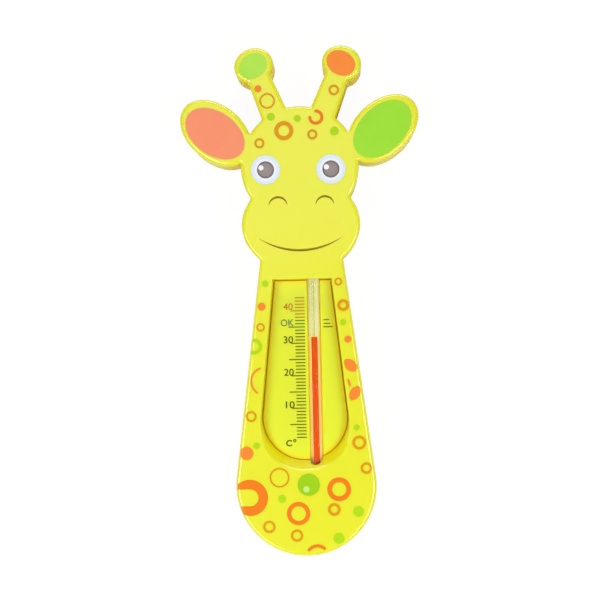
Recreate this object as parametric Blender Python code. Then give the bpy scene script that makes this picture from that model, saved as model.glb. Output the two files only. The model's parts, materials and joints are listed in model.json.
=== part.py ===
"""Bath thermometer: a flat giraffe-shaped float with a spirit tube behind a window.

Two plastic half shells close round a scale plate, which carries the glass tube. The print on the
face is a thin layer of colour fields. The thermometer lies on its back: X runs across it, +Y from
the round base up to the horns, and +Z out of the printed face. Lengths are in metres, and a height
is measured along the body from its bottom end.
"""

import math

import bmesh
import bpy
from mathutils import Vector
from mathutils.geometry import delaunay_2d_cdt

# Silhouette
BASE_RADIUS = 0.0276
NECK_HEIGHT = 0.1165
NECK_HALF_WIDTH = 0.0163
MUZZLE_RISE = 0.0137
MUZZLE_HALF_WIDTH = 0.0233
MUZZLE_HALF_HEIGHT = 0.0190
SKULL_RISE = 0.0231
SKULL_HALF_WIDTH = 0.0232
SKULL_HALF_HEIGHT = 0.0233
EAR_HALF_LENGTH = 0.0159
EAR_HALF_WIDTH = 0.0108
EAR_DIRECTION = math.radians(22.7)
EAR_TILT = math.radians(40.6)
EAR_OVERLAP = 0.0026
HORN_SPREAD = 0.0079
HORN_SINK = 0.0071
HORN_LENGTH = 0.0254
HORN_LEAN = math.radians(21.8)
HORN_ROOT_HALF_WIDTH = 0.0054
HORN_TIP_HALF_WIDTH = 0.0044
KNOB_HALF_LENGTH = 0.0078
KNOB_HALF_WIDTH = 0.0068
KNOB_TILT = math.radians(18.2)

# Section of the two shells
THICKNESS = 0.0150
PARTING_LEVEL = 0.0045
WALL = 0.0018
PANEL = 0.0016
FRONT_EDGE = 0.0016
BACK_EDGE = 0.0013
JOINT_GAP = 0.0003
LIP_THICKNESS = 0.0007
LIP_HEIGHT = 0.0012

# Window in the neck, with a scooped lower end
WINDOW_TOP_DROP = 0.0080
WINDOW_TOP_RIM = 0.0050
WINDOW_LOW_RIM = 0.0106
WINDOW_LOW_DROP = 0.0013
WINDOW_DEPTH = 0.0050
WINDOW_LEAN = 0.0004
SCOOP_REACH = 0.0033
SCOOP_ANGLE = math.radians(60.0)
WELL_WALL = 0.0016
WELL_OVERHANG = 0.0010

# Scale plate behind the window
PLATE_GAP = 0.0003
PLATE_LAP = 0.0032
PLATE_THICKNESS = 0.0023
STRIP_SIDE = 0.0038
STRIP_MARGIN = 0.0015
STRIP_TOP_LENGTH = 0.0085
PIN_RADIUS = 0.0010
PIN_SIDE = 0.0030
PIN_MARGIN = 0.0040
PIN_END = 0.0006

# Glass tube and the spirit in it
TUBE_X = 0.0043
GLASS_RADIUS = 0.00215
SEAT_GAP = 0.0003
TUBE_GAP = 0.00035
GROOVE_RADIUS = 0.00285
GROOVE_DEPTH = 0.0020
BULB_RADIUS = 0.0026
BULB_LENGTH = 0.0100
BULB_WALL = 0.0006
SHOULDER = 0.0016
SHOULDER_BEND = (0.40, 0.85)
TUBE_END_BEND = (0.30, 0.70)
TUBE_END_MARGIN = 0.0025
FILLER_RADIUS = 0.0007
BORE_HALF_WIDTH = 0.0011
BORE_HALF_DEPTH = 0.0006
BORE_END = 0.0030
SPIRIT_GAP = 0.0002
READING_HEIGHT = 0.0858
TUBE_SIDES = 16
SPIRIT_SIDES = 12

# Back shell details
RIB_PLACES = (0.21, 0.55, 0.86)
RIB_HALF_LENGTH = 0.0100
RIB_THICKNESS = 0.0016
SLOT_WIDTH = 0.0020
SLOT_LENGTH = 0.0120
SLOT_PITCH = 0.0048
SLOT_COUNT = 3

# Smile and nostrils, cut into the face
SMILE_RADIUS = 0.0296
SMILE_HALF_ANGLE = math.radians(34.0)
SMILE_DROP = 0.0102
NOSTRIL_RADIUS = 0.00365
NOSTRIL_HALF_ANGLE = math.radians(87.0)
NOSTRIL_SPREAD = 0.0092
NOSTRIL_SHIFT = 0.0004
NOSTRIL_RISE = 0.0071
CUT_WIDTH = 0.0009
CUT_DEPTH = 0.0006
CUT_STEPS = 16

# Print
PRINT_THICKNESS = 0.0001
EAR_FIELD_HALF_LENGTH = 0.0130
EAR_FIELD_HALF_WIDTH = 0.0086
KNOB_FIELD_HALF_LENGTH = 0.0059
KNOB_FIELD_HALF_WIDTH = 0.0047
KNOB_FIELD_TILT = math.radians(31.0)
EYE_RADIUS = 0.0057
PUPIL_RADIUS = 0.00335
GLINT_RADIUS = 0.0010
GLINT_OFFSET = 0.0019
GLINT_ANGLE = math.radians(154.0)
EYE_SPREAD = 0.0128
EYE_SHIFT = -0.0005
EYE_DROP = 0.0017
OPEN_RING_RADIUS = 0.0030
OPEN_RING_HOLE = 0.0016
OPEN_RING_GAP = (math.radians(170.0), math.radians(135.0), math.radians(100.0))
BOW_RADIUS = 0.0060
BOW_WIDTH = 0.0007
BOW_START = math.radians(110.0)
BOW_END = math.radians(235.0)

# How finely arcs are cut into straight edges
CHORD_ERROR = 0.00008
SHORTEST_EDGE = 0.0005
EDGE_STEPS = 3
WELL_STEPS = 5

FLOOR_LEVEL = THICKNESS - WINDOW_DEPTH
CEILING_LEVEL = THICKNESS - PANEL
WELL_END_LEVEL = FLOOR_LEVEL - WELL_OVERHANG
PLATE_TOP_LEVEL = WELL_END_LEVEL - PLATE_GAP
PLATE_BOTTOM_LEVEL = PLATE_TOP_LEVEL - PLATE_THICKNESS
MUZZLE_HEIGHT = NECK_HEIGHT + MUZZLE_RISE
SKULL_HEIGHT = MUZZLE_HEIGHT + SKULL_RISE
WINDOW_TOP = NECK_HEIGHT - WINDOW_TOP_DROP
WINDOW_TOP_HALF_WIDTH = NECK_HALF_WIDTH - WINDOW_TOP_RIM
WINDOW_RADIUS = BASE_RADIUS - WINDOW_LOW_RIM
WINDOW_CENTRE = 2.0 * BASE_RADIUS - WINDOW_LOW_DROP
STRIP_HALF_WIDTH = NECK_HALF_WIDTH - STRIP_SIDE
PIN_X = STRIP_HALF_WIDTH - PIN_SIDE
GROOVE_LEVEL = FLOOR_LEVEL - GROOVE_DEPTH + GROOVE_RADIUS
TUBE_LEVEL = FLOOR_LEVEL - GROOVE_DEPTH + SEAT_GAP + GLASS_RADIUS
SCOOP_BOTTOM = WINDOW_CENTRE - WINDOW_RADIUS - WINDOW_LEAN - SCOOP_REACH
BULB_TOP = SCOOP_BOTTOM - WELL_WALL - SEAT_GAP
BULB_BOTTOM = BULB_TOP - BULB_LENGTH
STRIP_BOTTOM = BULB_BOTTOM - STRIP_MARGIN
STRIP_TOP = WINDOW_TOP + STRIP_TOP_LENGTH
TUBE_TOP = STRIP_TOP - TUBE_END_MARGIN


# Plane geometry: a loop is a list of (x, height) points that runs anticlockwise


def arc_steps(radius, turn):
    """An even number of chords that keep an arc within the chord error."""
    step = 2.0 * math.acos(1.0 - CHORD_ERROR / radius)
    return 2 * max(3, math.ceil(turn / step / 2.0))


def arc(centre, radius, start, end):
    steps = arc_steps(radius, abs(end - start))
    angles = [start + (end - start) * step / steps for step in range(steps + 1)]
    return [(centre[0] + radius * math.cos(a), centre[1] + radius * math.sin(a)) for a in angles]


def ellipse(centre, half_long, half_wide, tilt=0.0):
    steps = arc_steps(half_long, 2.0 * math.pi)
    loop = []
    for step in range(steps):
        angle = 2.0 * math.pi * step / steps
        along = half_long * math.cos(angle)
        across = half_wide * math.sin(angle)
        x = centre[0] + along * math.cos(tilt) - across * math.sin(tilt)
        y = centre[1] + along * math.sin(tilt) + across * math.cos(tilt)
        loop.append((x, y))
    return loop


def circle(centre, radius):
    return ellipse(centre, radius, radius)


def rectangle(left, bottom, right, top):
    return [(left, bottom), (right, bottom), (right, top), (left, top)]


def mirrored(loop, side):
    """The loop itself on the right side, its mirror image on the left one."""
    if side > 0:
        return loop
    return [(-x, y) for x, y in reversed(loop)]


def reach(half_long, half_wide, angle):
    """How far an ellipse reaches from its centre, at an angle from its long axis."""
    return half_long * half_wide / math.hypot(half_wide * math.cos(angle), half_long * math.sin(angle))


def inset(loop, distance):
    """The loop moved inwards by a distance, with mitred corners and the same number of points."""
    moved = []
    for index, point in enumerate(loop):
        before = Vector(point) - Vector(loop[index - 1])
        after = Vector(loop[(index + 1) % len(loop)]) - Vector(point)
        first = Vector((-before.y, before.x)).normalized()
        second = Vector((-after.y, after.x)).normalized()
        shift = (first + second) * (distance / (1.0 + first.dot(second)))
        moved.append((point[0] + shift.x, point[1] + shift.y))
    return moved


def split(loops):
    """Cuts the plane along all loops into triangles, each with the set of loops that it lies in."""
    points = []
    faces = []
    for loop in loops:
        faces.append(list(range(len(points), len(points) + len(loop))))
        points.extend(loop)
    corners, _, triangles, sources, _, owners = delaunay_2d_cdt(
        [Vector(point) for point in points], [], faces, 1, 1e-8
    )
    places = [points[found[0]] if found else tuple(corner) for corner, found in zip(corners, sources)]
    return places, [(tuple(triangle), set(owner)) for triangle, owner in zip(triangles, owners)]


def border(triangles):
    """The directed edges that only one triangle has."""
    edges = set()
    for triangle in triangles:
        for index in range(3):
            edges.add((triangle[index - 1], triangle[index]))
    return [edge for edge in edges if (edge[1], edge[0]) not in edges]


def union(loops):
    """The outer loop round overlapping loops, without the tiny edges where two of them cross."""
    places, pieces = split(loops)
    following = dict(border([triangle for triangle, owner in pieces]))
    start = min(following, key=lambda index: (places[index][1], places[index][0]))
    loop = []
    index = start
    while not loop or index != start:
        if not loop or math.dist(places[index], loop[-1]) > SHORTEST_EDGE:
            loop.append(places[index])
        index = following[index]
    return loop


# Silhouette and window


def tangent_angle(centre, radius, point):
    """Where, on a circle's right side, the straight line to a point above it starts."""
    span = math.dist(centre, point)
    return math.atan2(point[1] - centre[1], point[0] - centre[0]) - math.acos(radius / span)


def body_loop():
    """The round base and the neck, which runs on to the middle of the muzzle."""
    centre = (0.0, BASE_RADIUS)
    chin = (NECK_HALF_WIDTH, NECK_HEIGHT)
    angle = tangent_angle(centre, BASE_RADIUS, chin)
    foot = (BASE_RADIUS * math.cos(angle), BASE_RADIUS + BASE_RADIUS * math.sin(angle))
    taper = (chin[0] - foot[0]) / (chin[1] - foot[1])
    top = (chin[0] + taper * MUZZLE_RISE, MUZZLE_HEIGHT)
    return arc(centre, BASE_RADIUS, math.pi - angle, 2.0 * math.pi + angle) + [top, (-top[0], top[1])]


def neck_half_width(height):
    """Half the width of the silhouette between the base and the chin."""
    centre = (0.0, BASE_RADIUS)
    angle = tangent_angle(centre, BASE_RADIUS, (NECK_HALF_WIDTH, NECK_HEIGHT))
    foot = (BASE_RADIUS * math.cos(angle), BASE_RADIUS + BASE_RADIUS * math.sin(angle))
    if height < foot[1]:
        return math.sqrt(BASE_RADIUS**2 - (height - BASE_RADIUS) ** 2)
    share = (height - foot[1]) / (NECK_HEIGHT - foot[1])
    return foot[0] + (NECK_HALF_WIDTH - foot[0]) * share


def ear_centre():
    span = reach(SKULL_HALF_WIDTH, SKULL_HALF_HEIGHT, EAR_DIRECTION)
    span += reach(EAR_HALF_LENGTH, EAR_HALF_WIDTH, EAR_TILT - EAR_DIRECTION) - EAR_OVERLAP
    return (span * math.cos(EAR_DIRECTION), SKULL_HEIGHT + span * math.sin(EAR_DIRECTION))


def on_horn(along, across=0.0):
    """A point on the right horn: so far up from its root, and so far outwards from its axis."""
    root = (HORN_SPREAD, SKULL_HEIGHT + SKULL_HALF_HEIGHT - HORN_SINK)
    x = root[0] + along * math.sin(HORN_LEAN) + across * math.cos(HORN_LEAN)
    y = root[1] + along * math.cos(HORN_LEAN) - across * math.sin(HORN_LEAN)
    return (x, y)


def horn_loop():
    return [
        on_horn(0.0, -HORN_ROOT_HALF_WIDTH),
        on_horn(0.0, HORN_ROOT_HALF_WIDTH),
        on_horn(HORN_LENGTH, HORN_TIP_HALF_WIDTH),
        on_horn(HORN_LENGTH, -HORN_TIP_HALF_WIDTH),
    ]


def silhouette():
    """Base, neck, muzzle, skull, ears and horns as one outline."""
    loops = [
        body_loop(),
        ellipse((0.0, MUZZLE_HEIGHT), MUZZLE_HALF_WIDTH, MUZZLE_HALF_HEIGHT),
        ellipse((0.0, SKULL_HEIGHT), SKULL_HALF_WIDTH, SKULL_HALF_HEIGHT),
    ]
    for side in (-1, 1):
        loops.append(mirrored(ellipse(ear_centre(), EAR_HALF_LENGTH, EAR_HALF_WIDTH, EAR_TILT), side))
        loops.append(mirrored(horn_loop(), side))
        knob = ellipse(on_horn(HORN_LENGTH), KNOB_HALF_LENGTH, KNOB_HALF_WIDTH, -KNOB_TILT)
        loops.append(mirrored(knob, side))
    return union(loops)


def window_loop(share):
    """The window's outline, from its floor (share 0) to the face (share 1)."""
    centre = (0.0, WINDOW_CENTRE)
    corner = (WINDOW_TOP_HALF_WIDTH, WINDOW_TOP)
    start = tangent_angle(centre, WINDOW_RADIUS, corner)
    lean = WINDOW_LEAN * share
    loop = []
    for x, y in arc(centre, WINDOW_RADIUS, math.pi - start, 2.0 * math.pi + start):
        fall = math.asin(max(-1.0, min(1.0, (WINDOW_CENTRE - y) / WINDOW_RADIUS)))
        part = max(0.0, min(1.0, (start + fall) / (start + SCOOP_ANGLE)))
        grown = 1.0 + (lean + share * SCOOP_REACH * part * part * (3.0 - 2.0 * part)) / WINDOW_RADIUS
        loop.append((x * grown, WINDOW_CENTRE + (y - WINDOW_CENTRE) * grown))
    side = WINDOW_TOP_HALF_WIDTH + lean
    return loop + [(side, WINDOW_TOP + lean), (-side, WINDOW_TOP + lean)]


def crescent(centre, radius, middle, half_angle):
    """The upper edge, bed and lower edge of a cut that is deepest in its middle."""
    edges = ([], [], [])
    for step in range(CUT_STEPS + 1):
        angle = middle + half_angle * (2.0 * step / CUT_STEPS - 1.0)
        swell = math.sin(math.pi * step / CUT_STEPS)
        for edge, part in zip(edges, (0.5, 0.0, -0.5)):
            span = radius + part * CUT_WIDTH * swell
            depth = CUT_DEPTH * swell if part == 0.0 else 0.0
            x = centre[0] + span * math.cos(angle)
            y = centre[1] + span * math.sin(angle)
            edge.append((x, y, THICKNESS - depth))
    return edges


def face_cuts():
    smile_centre = (0.0, MUZZLE_HEIGHT - SMILE_DROP + SMILE_RADIUS)
    cuts = [crescent(smile_centre, SMILE_RADIUS, -math.pi / 2.0, SMILE_HALF_ANGLE)]
    for side in (-1, 1):
        centre = (side * NOSTRIL_SPREAD + NOSTRIL_SHIFT, MUZZLE_HEIGHT + NOSTRIL_RISE)
        cuts.append(crescent(centre, NOSTRIL_RADIUS, math.pi / 2.0, NOSTRIL_HALF_ANGLE))
    return cuts


def cut_loop(cut):
    """The outline of a cut on the face, anticlockwise."""
    outer, _, inner = cut
    points = [(x, y) for x, y, _ in outer] + [(x, y) for x, y, _ in reversed(inner[1:-1])]
    area = sum(points[i - 1][0] * points[i][1] - points[i][0] * points[i - 1][1] for i in range(len(points)))
    return points if area > 0.0 else points[::-1]


# Solids


class Skin:
    """Collects the triangles of one closed solid; points in the same place are one corner."""

    def __init__(self):
        self.corners = []
        self.indices = {}
        self.triangles = []

    def corner(self, x, y, z):
        key = (round(x, 9), round(y, 9), round(z, 9))
        if key not in self.indices:
            self.indices[key] = len(self.corners)
            self.corners.append((x, y, z))
        return self.indices[key]

    def triangle(self, *points):
        corners = [self.corner(*point) for point in points]
        if len(set(corners)) == 3:
            self.triangles.append(corners)

    def strip(self, first, second, closed=False):
        """Faces between two rows of as many points."""
        count = len(first)
        for index in range(count if closed else count - 1):
            after = (index + 1) % count
            self.triangle(first[index], first[after], second[after])
            self.triangle(first[index], second[after], second[index])

    def band(self, lower, lower_level, upper, upper_level):
        """A wall between two loops with as many points."""
        first = [(x, y, lower_level) for x, y in lower]
        second = [(x, y, upper_level) for x, y in upper]
        self.strip(first, second, closed=True)

    def sheet(self, level, outer, holes=()):
        """A flat face at one level, inside one loop and outside others."""
        places, pieces = split([outer, *holes])
        for triangle, owner in pieces:
            if owner == {0}:
                self.triangle(*[(*places[index], level) for index in triangle])

    def boss(self, loop, foot_level, end_level):
        """A pin or rib that stands on a sheet which leaves the same loop open."""
        self.band(loop, foot_level, loop, end_level)
        self.sheet(end_level, loop)

    def rounded_edge(self, loop, radius, flat_level, side):
        """The rounded edge from a wall to a flat face; side is 1 for an upper edge, -1 for a lower one."""
        rows = []
        for step in range(EDGE_STEPS + 1):
            angle = math.pi / 2.0 * step / EDGE_STEPS
            level = flat_level - side * radius * (1.0 - math.sin(angle))
            rows.append((inset(loop, radius * (1.0 - math.cos(angle))), level))
        for (lower, lower_level), (upper, upper_level) in zip(rows, rows[1:]):
            self.band(lower, lower_level, upper, upper_level)
        return rows[-1][0]

    def slab(self, places, triangles, bottom, top):
        """A solid of even thickness over the triangles of a flat region."""
        for triangle in triangles:
            flat = [places[index] for index in triangle]
            self.triangle(*[(*place, bottom) for place in reversed(flat)])
            self.triangle(*[(*place, top) for place in flat])
        for start, end in border(triangles):
            rows = [[(*places[index], level) for index in (start, end)] for level in (bottom, top)]
            self.strip(*rows)

    def made(self, name, material):
        """The collected solid as an object under the root."""
        mesh = bpy.data.meshes.new(name)
        mesh.from_pydata(self.corners, [], self.triangles)
        body = bmesh.new()
        body.from_mesh(mesh)
        bmesh.ops.recalc_face_normals(body, faces=body.faces)
        body.to_mesh(mesh)
        body.free()
        mesh.shade_smooth()
        mesh.set_sharp_from_angle(angle=math.radians(30.0))
        if material:
            mesh.materials.append(material)
        made = bpy.data.objects.new(name, mesh)
        made.parent = bpy.data.objects["thermometer"]
        bpy.context.scene.collection.objects.link(made)
        return made


def cutter(name, section, start, end):
    """A hidden prism along the body; its section is a loop of (x, level) points."""
    skin = Skin()
    turned = [(x, -level) for x, level in reversed(section)]
    skin.sheet(start, turned)
    skin.band(turned, start, turned, end)
    skin.sheet(end, turned)
    made = skin.made(name, None)
    made.rotation_euler = (math.radians(-90.0), 0.0, 0.0)
    made.hide_render = True
    made.display_type = "WIRE"
    return made


def cut_with(target, tool):
    modifier = target.modifiers.new(tool.name, "BOOLEAN")
    modifier.operation = "DIFFERENCE"
    modifier.solver = "EXACT"
    modifier.object = tool


def ring(height, half_width, half_depth, sides):
    """One cross-section of the tube, or a single point where it closes."""
    points = []
    for side in range(sides):
        angle = 2.0 * math.pi * side / sides
        x = TUBE_X + half_width * math.cos(angle)
        points.append((x, height, TUBE_LEVEL + half_depth * math.sin(angle)))
    return points


def turned_walls(skin, stations, sides):
    """Walls along the tube's axis through stations of (height, half width, half depth)."""
    rings = [ring(height, half_width, half_depth, sides) for height, half_width, half_depth in stations]
    for lower, upper in zip(rings, rings[1:]):
        skin.strip(lower, upper, closed=True)


# Materials


def linear(red, green, blue):
    """Colour values from 0 to 255, as seen on a screen, in the linear form that a shader takes."""
    values = []
    for value in (red, green, blue):
        share = value / 255.0
        values.append(share / 12.92 if share <= 0.04045 else ((share + 0.055) / 1.055) ** 2.4)
    return (*values, 1.0)


def material(name, colour, roughness, transmission=0.0):
    made = bpy.data.materials.new(name)
    made.use_nodes = True
    shader = made.node_tree.nodes["Principled BSDF"]
    shader.inputs["Base Color"].default_value = linear(*colour)
    shader.inputs["Roughness"].default_value = roughness
    shader.inputs["Metallic"].default_value = 0.0
    shader.inputs["Transmission Weight"].default_value = transmission
    return made


# Pieces


def build_front_shell(outline, plastic):
    """The moulded face with its window well, its side wall and the pins that carry the plate."""
    skin = Skin()
    rim = window_loop(1.0)
    floor = window_loop(0.0)
    cuts = face_cuts()
    skirt = inset(outline, WALL - LIP_THICKNESS - JOINT_GAP)
    inner = inset(outline, WALL)
    step_level = PARTING_LEVEL + LIP_HEIGHT + JOINT_GAP

    skin.band(outline, PARTING_LEVEL, outline, THICKNESS - FRONT_EDGE)
    face = skin.rounded_edge(outline, FRONT_EDGE, THICKNESS, 1)
    skin.sheet(THICKNESS, face, [rim] + [cut_loop(cut) for cut in cuts])
    for outer_edge, bed, inner_edge in cuts:
        skin.strip(outer_edge, bed)
        skin.strip(bed, inner_edge)

    # The well: a steep wall that widens into the scoop at its lower end
    rows = []
    for step in range(WELL_STEPS + 1):
        share = step / WELL_STEPS
        rise = 0.5 * math.sin(math.pi / 2.0 * share) + 0.5 * share * share * (3.0 - 2.0 * share)
        rows.append((window_loop(share), FLOOR_LEVEL + WINDOW_DEPTH * rise))
    for (lower, lower_level), (upper, upper_level) in zip(rows, rows[1:]):
        skin.band(lower, lower_level, upper, upper_level)
    well_foot = inset(floor, -WELL_WALL)
    well_top = inset(rim, -WELL_WALL)
    skin.band(floor, WELL_END_LEVEL, floor, FLOOR_LEVEL)
    skin.band(floor, WELL_END_LEVEL, well_foot, WELL_END_LEVEL)
    skin.band(well_foot, WELL_END_LEVEL, well_top, CEILING_LEVEL)

    # The inside: ceiling with pins, wall, and the step that takes the back shell's lip
    pins = [circle(centre, PIN_RADIUS) for centre in pin_centres()]
    skin.sheet(CEILING_LEVEL, inner, [well_top] + pins)
    for pin in pins:
        skin.boss(pin, CEILING_LEVEL, PLATE_BOTTOM_LEVEL - PIN_END)
    skin.band(inner, step_level, inner, CEILING_LEVEL)
    skin.band(skirt, step_level, inner, step_level)
    skin.band(skirt, PARTING_LEVEL, skirt, step_level)
    skin.band(outline, PARTING_LEVEL, skirt, PARTING_LEVEL)
    shell = skin.made("front_shell", plastic)

    # Arched ways for the tube through both ends of the well
    radius = GLASS_RADIUS + TUBE_GAP
    section = arc((TUBE_X, TUBE_LEVEL), radius, 0.0, math.pi)
    below = WELL_END_LEVEL - WELL_OVERHANG
    section += [(TUBE_X - radius, below), (TUBE_X + radius, below)]
    start = SCOOP_BOTTOM - 2.0 * WELL_WALL
    end = WINDOW_TOP + WINDOW_LEAN + 2.0 * WELL_WALL
    cut_with(shell, cutter("tube_way", section, start, end))
    return face


def pin_centres():
    """The four pins: two below the window and two above it."""
    low = STRIP_BOTTOM + PIN_MARGIN
    high = STRIP_TOP - PIN_MARGIN
    return [(side * PIN_X, height) for height in (low, high) for side in (-1, 1)]


def build_scale_plate(plastic):
    """The plate: its pad shows in the window, its flange and strip hang on the pins."""
    skin = Skin()
    floor = window_loop(0.0)
    pad = inset(floor, PLATE_GAP)
    strip = rectangle(-STRIP_HALF_WIDTH, STRIP_BOTTOM, STRIP_HALF_WIDTH, STRIP_TOP)
    flange = union([inset(floor, -PLATE_LAP), strip])
    holes = [circle(centre, PIN_RADIUS + PLATE_GAP) for centre in pin_centres()]
    skin.sheet(PLATE_BOTTOM_LEVEL, flange, holes)
    skin.band(flange, PLATE_BOTTOM_LEVEL, flange, PLATE_TOP_LEVEL)
    skin.sheet(PLATE_TOP_LEVEL, flange, [pad] + holes)
    for hole in holes:
        skin.band(hole, PLATE_BOTTOM_LEVEL, hole, PLATE_TOP_LEVEL)
    skin.boss(pad, PLATE_TOP_LEVEL, FLOOR_LEVEL)
    plate = skin.made("scale_plate", plastic)

    # A groove for the stem, and a wider pocket for the bulb
    groove = circle((TUBE_X, GROOVE_LEVEL), GROOVE_RADIUS)
    cut_with(plate, cutter("stem_groove", groove, STRIP_BOTTOM - STRIP_MARGIN, TUBE_TOP + SEAT_GAP))
    pocket = circle((TUBE_X, TUBE_LEVEL), BULB_RADIUS + SEAT_GAP)
    cut_with(plate, cutter("bulb_pocket", pocket, STRIP_BOTTOM - 2.0 * STRIP_MARGIN, BULB_TOP + SEAT_GAP))


def build_back_shell(outline, plastic):
    """The flat back: a rounded tray with a lip, ribs under the plate and water slots at the bulb."""
    skin = Skin()
    inner = inset(outline, WALL)
    lip = inset(outline, WALL - LIP_THICKNESS)
    wall_level = PARTING_LEVEL - JOINT_GAP
    lip_level = PARTING_LEVEL + LIP_HEIGHT
    slots = []
    middle = (BULB_TOP + BULB_BOTTOM) / 2.0
    for index in range(SLOT_COUNT):
        x = TUBE_X + SLOT_PITCH * (index - (SLOT_COUNT - 1) / 2.0)
        ends = SLOT_LENGTH / 2.0 - SLOT_WIDTH / 2.0
        top = arc((x, middle + ends), SLOT_WIDTH / 2.0, 0.0, math.pi)
        bottom = arc((x, middle - ends), SLOT_WIDTH / 2.0, math.pi, 2.0 * math.pi)
        slots.append(top + bottom)
    ribs = []
    for place in RIB_PLACES:
        height = STRIP_BOTTOM + place * (STRIP_TOP - STRIP_BOTTOM)
        half = RIB_THICKNESS / 2.0
        ribs.append(rectangle(-RIB_HALF_LENGTH, height - half, RIB_HALF_LENGTH, height + half))

    back = skin.rounded_edge(outline, BACK_EDGE, 0.0, -1)
    skin.sheet(0.0, back, slots)
    skin.band(outline, BACK_EDGE, outline, wall_level)
    skin.band(outline, wall_level, lip, wall_level)
    skin.band(lip, wall_level, lip, lip_level)
    skin.band(lip, lip_level, inner, lip_level)
    skin.band(inner, PANEL, inner, lip_level)
    skin.sheet(PANEL, inner, slots + ribs)
    for slot in slots:
        skin.band(slot, 0.0, slot, PANEL)
    for rib in ribs:
        skin.boss(rib, PANEL, PLATE_BOTTOM_LEVEL - PLATE_GAP)
    skin.made("back_shell", plastic)


def build_glass_tube(glass):
    """The capillary: a thin tube with a flat bore, closed on top, with its bulb below."""
    bulb_inside = BULB_RADIUS - BULB_WALL
    outside = [
        (BULB_BOTTOM, FILLER_RADIUS + BULB_WALL),
        (BULB_BOTTOM + SHOULDER_BEND[0] * SHOULDER, SHOULDER_BEND[1] * BULB_RADIUS),
        (BULB_BOTTOM + SHOULDER, BULB_RADIUS),
        (BULB_TOP - SHOULDER, BULB_RADIUS),
        (BULB_TOP, GLASS_RADIUS),
        (TUBE_TOP - GLASS_RADIUS, GLASS_RADIUS),
        (TUBE_TOP - TUBE_END_BEND[0] * GLASS_RADIUS, TUBE_END_BEND[1] * GLASS_RADIUS),
        (TUBE_TOP, 0.0),
    ]
    inside = [
        (BULB_BOTTOM, FILLER_RADIUS, FILLER_RADIUS),
        (BULB_BOTTOM + BULB_WALL, FILLER_RADIUS, FILLER_RADIUS),
        (BULB_BOTTOM + SHOULDER, bulb_inside, bulb_inside),
        (BULB_TOP - SHOULDER, bulb_inside, bulb_inside),
        (BULB_TOP, BORE_HALF_WIDTH, BORE_HALF_DEPTH),
        (TUBE_TOP - BORE_END, BORE_HALF_WIDTH, BORE_HALF_DEPTH),
        (TUBE_TOP - BORE_END, 0.0, 0.0),
    ]
    skin = Skin()
    turned_walls(skin, [(height, radius, radius) for height, radius in outside], TUBE_SIDES)
    turned_walls(skin, inside, TUBE_SIDES)
    turned_walls(skin, [inside[0], (outside[0][0], outside[0][1], outside[0][1])], TUBE_SIDES)
    skin.made("glass_tube", glass)


def build_spirit(liquid):
    """The coloured spirit: the bulb's filling and the thread in the bore, up to the reading."""
    bulb_inside = BULB_RADIUS - BULB_WALL - SPIRIT_GAP
    half_width = BORE_HALF_WIDTH - SPIRIT_GAP
    half_depth = BORE_HALF_DEPTH - SPIRIT_GAP
    stations = [
        (BULB_BOTTOM + SHOULDER, 0.0, 0.0),
        (BULB_BOTTOM + SHOULDER, bulb_inside, bulb_inside),
        (BULB_TOP - SHOULDER - SPIRIT_GAP, bulb_inside, bulb_inside),
        (BULB_TOP - SPIRIT_GAP, half_width, half_depth),
        (READING_HEIGHT, half_width, half_depth),
        (READING_HEIGHT, 0.0, 0.0),
    ]
    skin = Skin()
    turned_walls(skin, stations, SPIRIT_SIDES)
    skin.made("spirit_column", liquid)


# Print


def printed(name, ink, face, shape, holes=(), layer=0):
    """One flat field of print on the face, cut off where the flat face or the window ends."""
    loops = [shape, face, window_loop(1.0), *holes]
    blocked = set(range(2, len(loops)))
    places, pieces = split(loops)
    kept = [triangle for triangle, owner in pieces if {0, 1} <= owner and not owner & blocked]
    bottom = THICKNESS + layer * PRINT_THICKNESS
    skin = Skin()
    skin.slab(places, kept, bottom, bottom + PRINT_THICKNESS)
    skin.made(name, ink)


def leaf(centre, half_length, bulge, tilt):
    """A pointed leaf between two arcs."""
    radius = (half_length**2 + bulge**2) / (2.0 * bulge)
    half_angle = math.asin(half_length / radius)
    upper = arc((0.0, bulge - radius), radius, math.pi / 2.0 - half_angle, math.pi / 2.0 + half_angle)
    points = upper[:-1] + [(-x, -y) for x, y in upper[:-1]]
    turn_x, turn_y = math.cos(tilt), math.sin(tilt)
    return [(centre[0] + x * turn_x - y * turn_y, centre[1] + x * turn_y + y * turn_x) for x, y in points]


def print_face(face, inks):
    """Ears, horn knobs and eyes."""
    for side, ear_ink, knob_ink, word in ((-1, "coral", "green", "left"), (1, "green", "orange", "right")):
        ear = ellipse(ear_centre(), EAR_FIELD_HALF_LENGTH, EAR_FIELD_HALF_WIDTH, EAR_TILT)
        printed(f"ear_field_{word}", inks[ear_ink], face, mirrored(ear, side))
        knob = ellipse(on_horn(HORN_LENGTH), KNOB_FIELD_HALF_LENGTH, KNOB_FIELD_HALF_WIDTH, -KNOB_FIELD_TILT)
        printed(f"horn_field_{word}", inks[knob_ink], face, mirrored(knob, side))
        centre = (side * EYE_SPREAD + EYE_SHIFT, SKULL_HEIGHT - EYE_DROP)
        glint_x = centre[0] + GLINT_OFFSET * math.cos(GLINT_ANGLE)
        glint = (glint_x, centre[1] + GLINT_OFFSET * math.sin(GLINT_ANGLE))
        printed(f"eye_white_{word}", inks["white"], face, circle(centre, EYE_RADIUS))
        printed(f"pupil_{word}", inks["brown"], face, circle(centre, PUPIL_RADIUS), layer=1)
        printed(f"glint_{word}", inks["white"], face, circle(glint, GLINT_RADIUS), layer=2)


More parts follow.
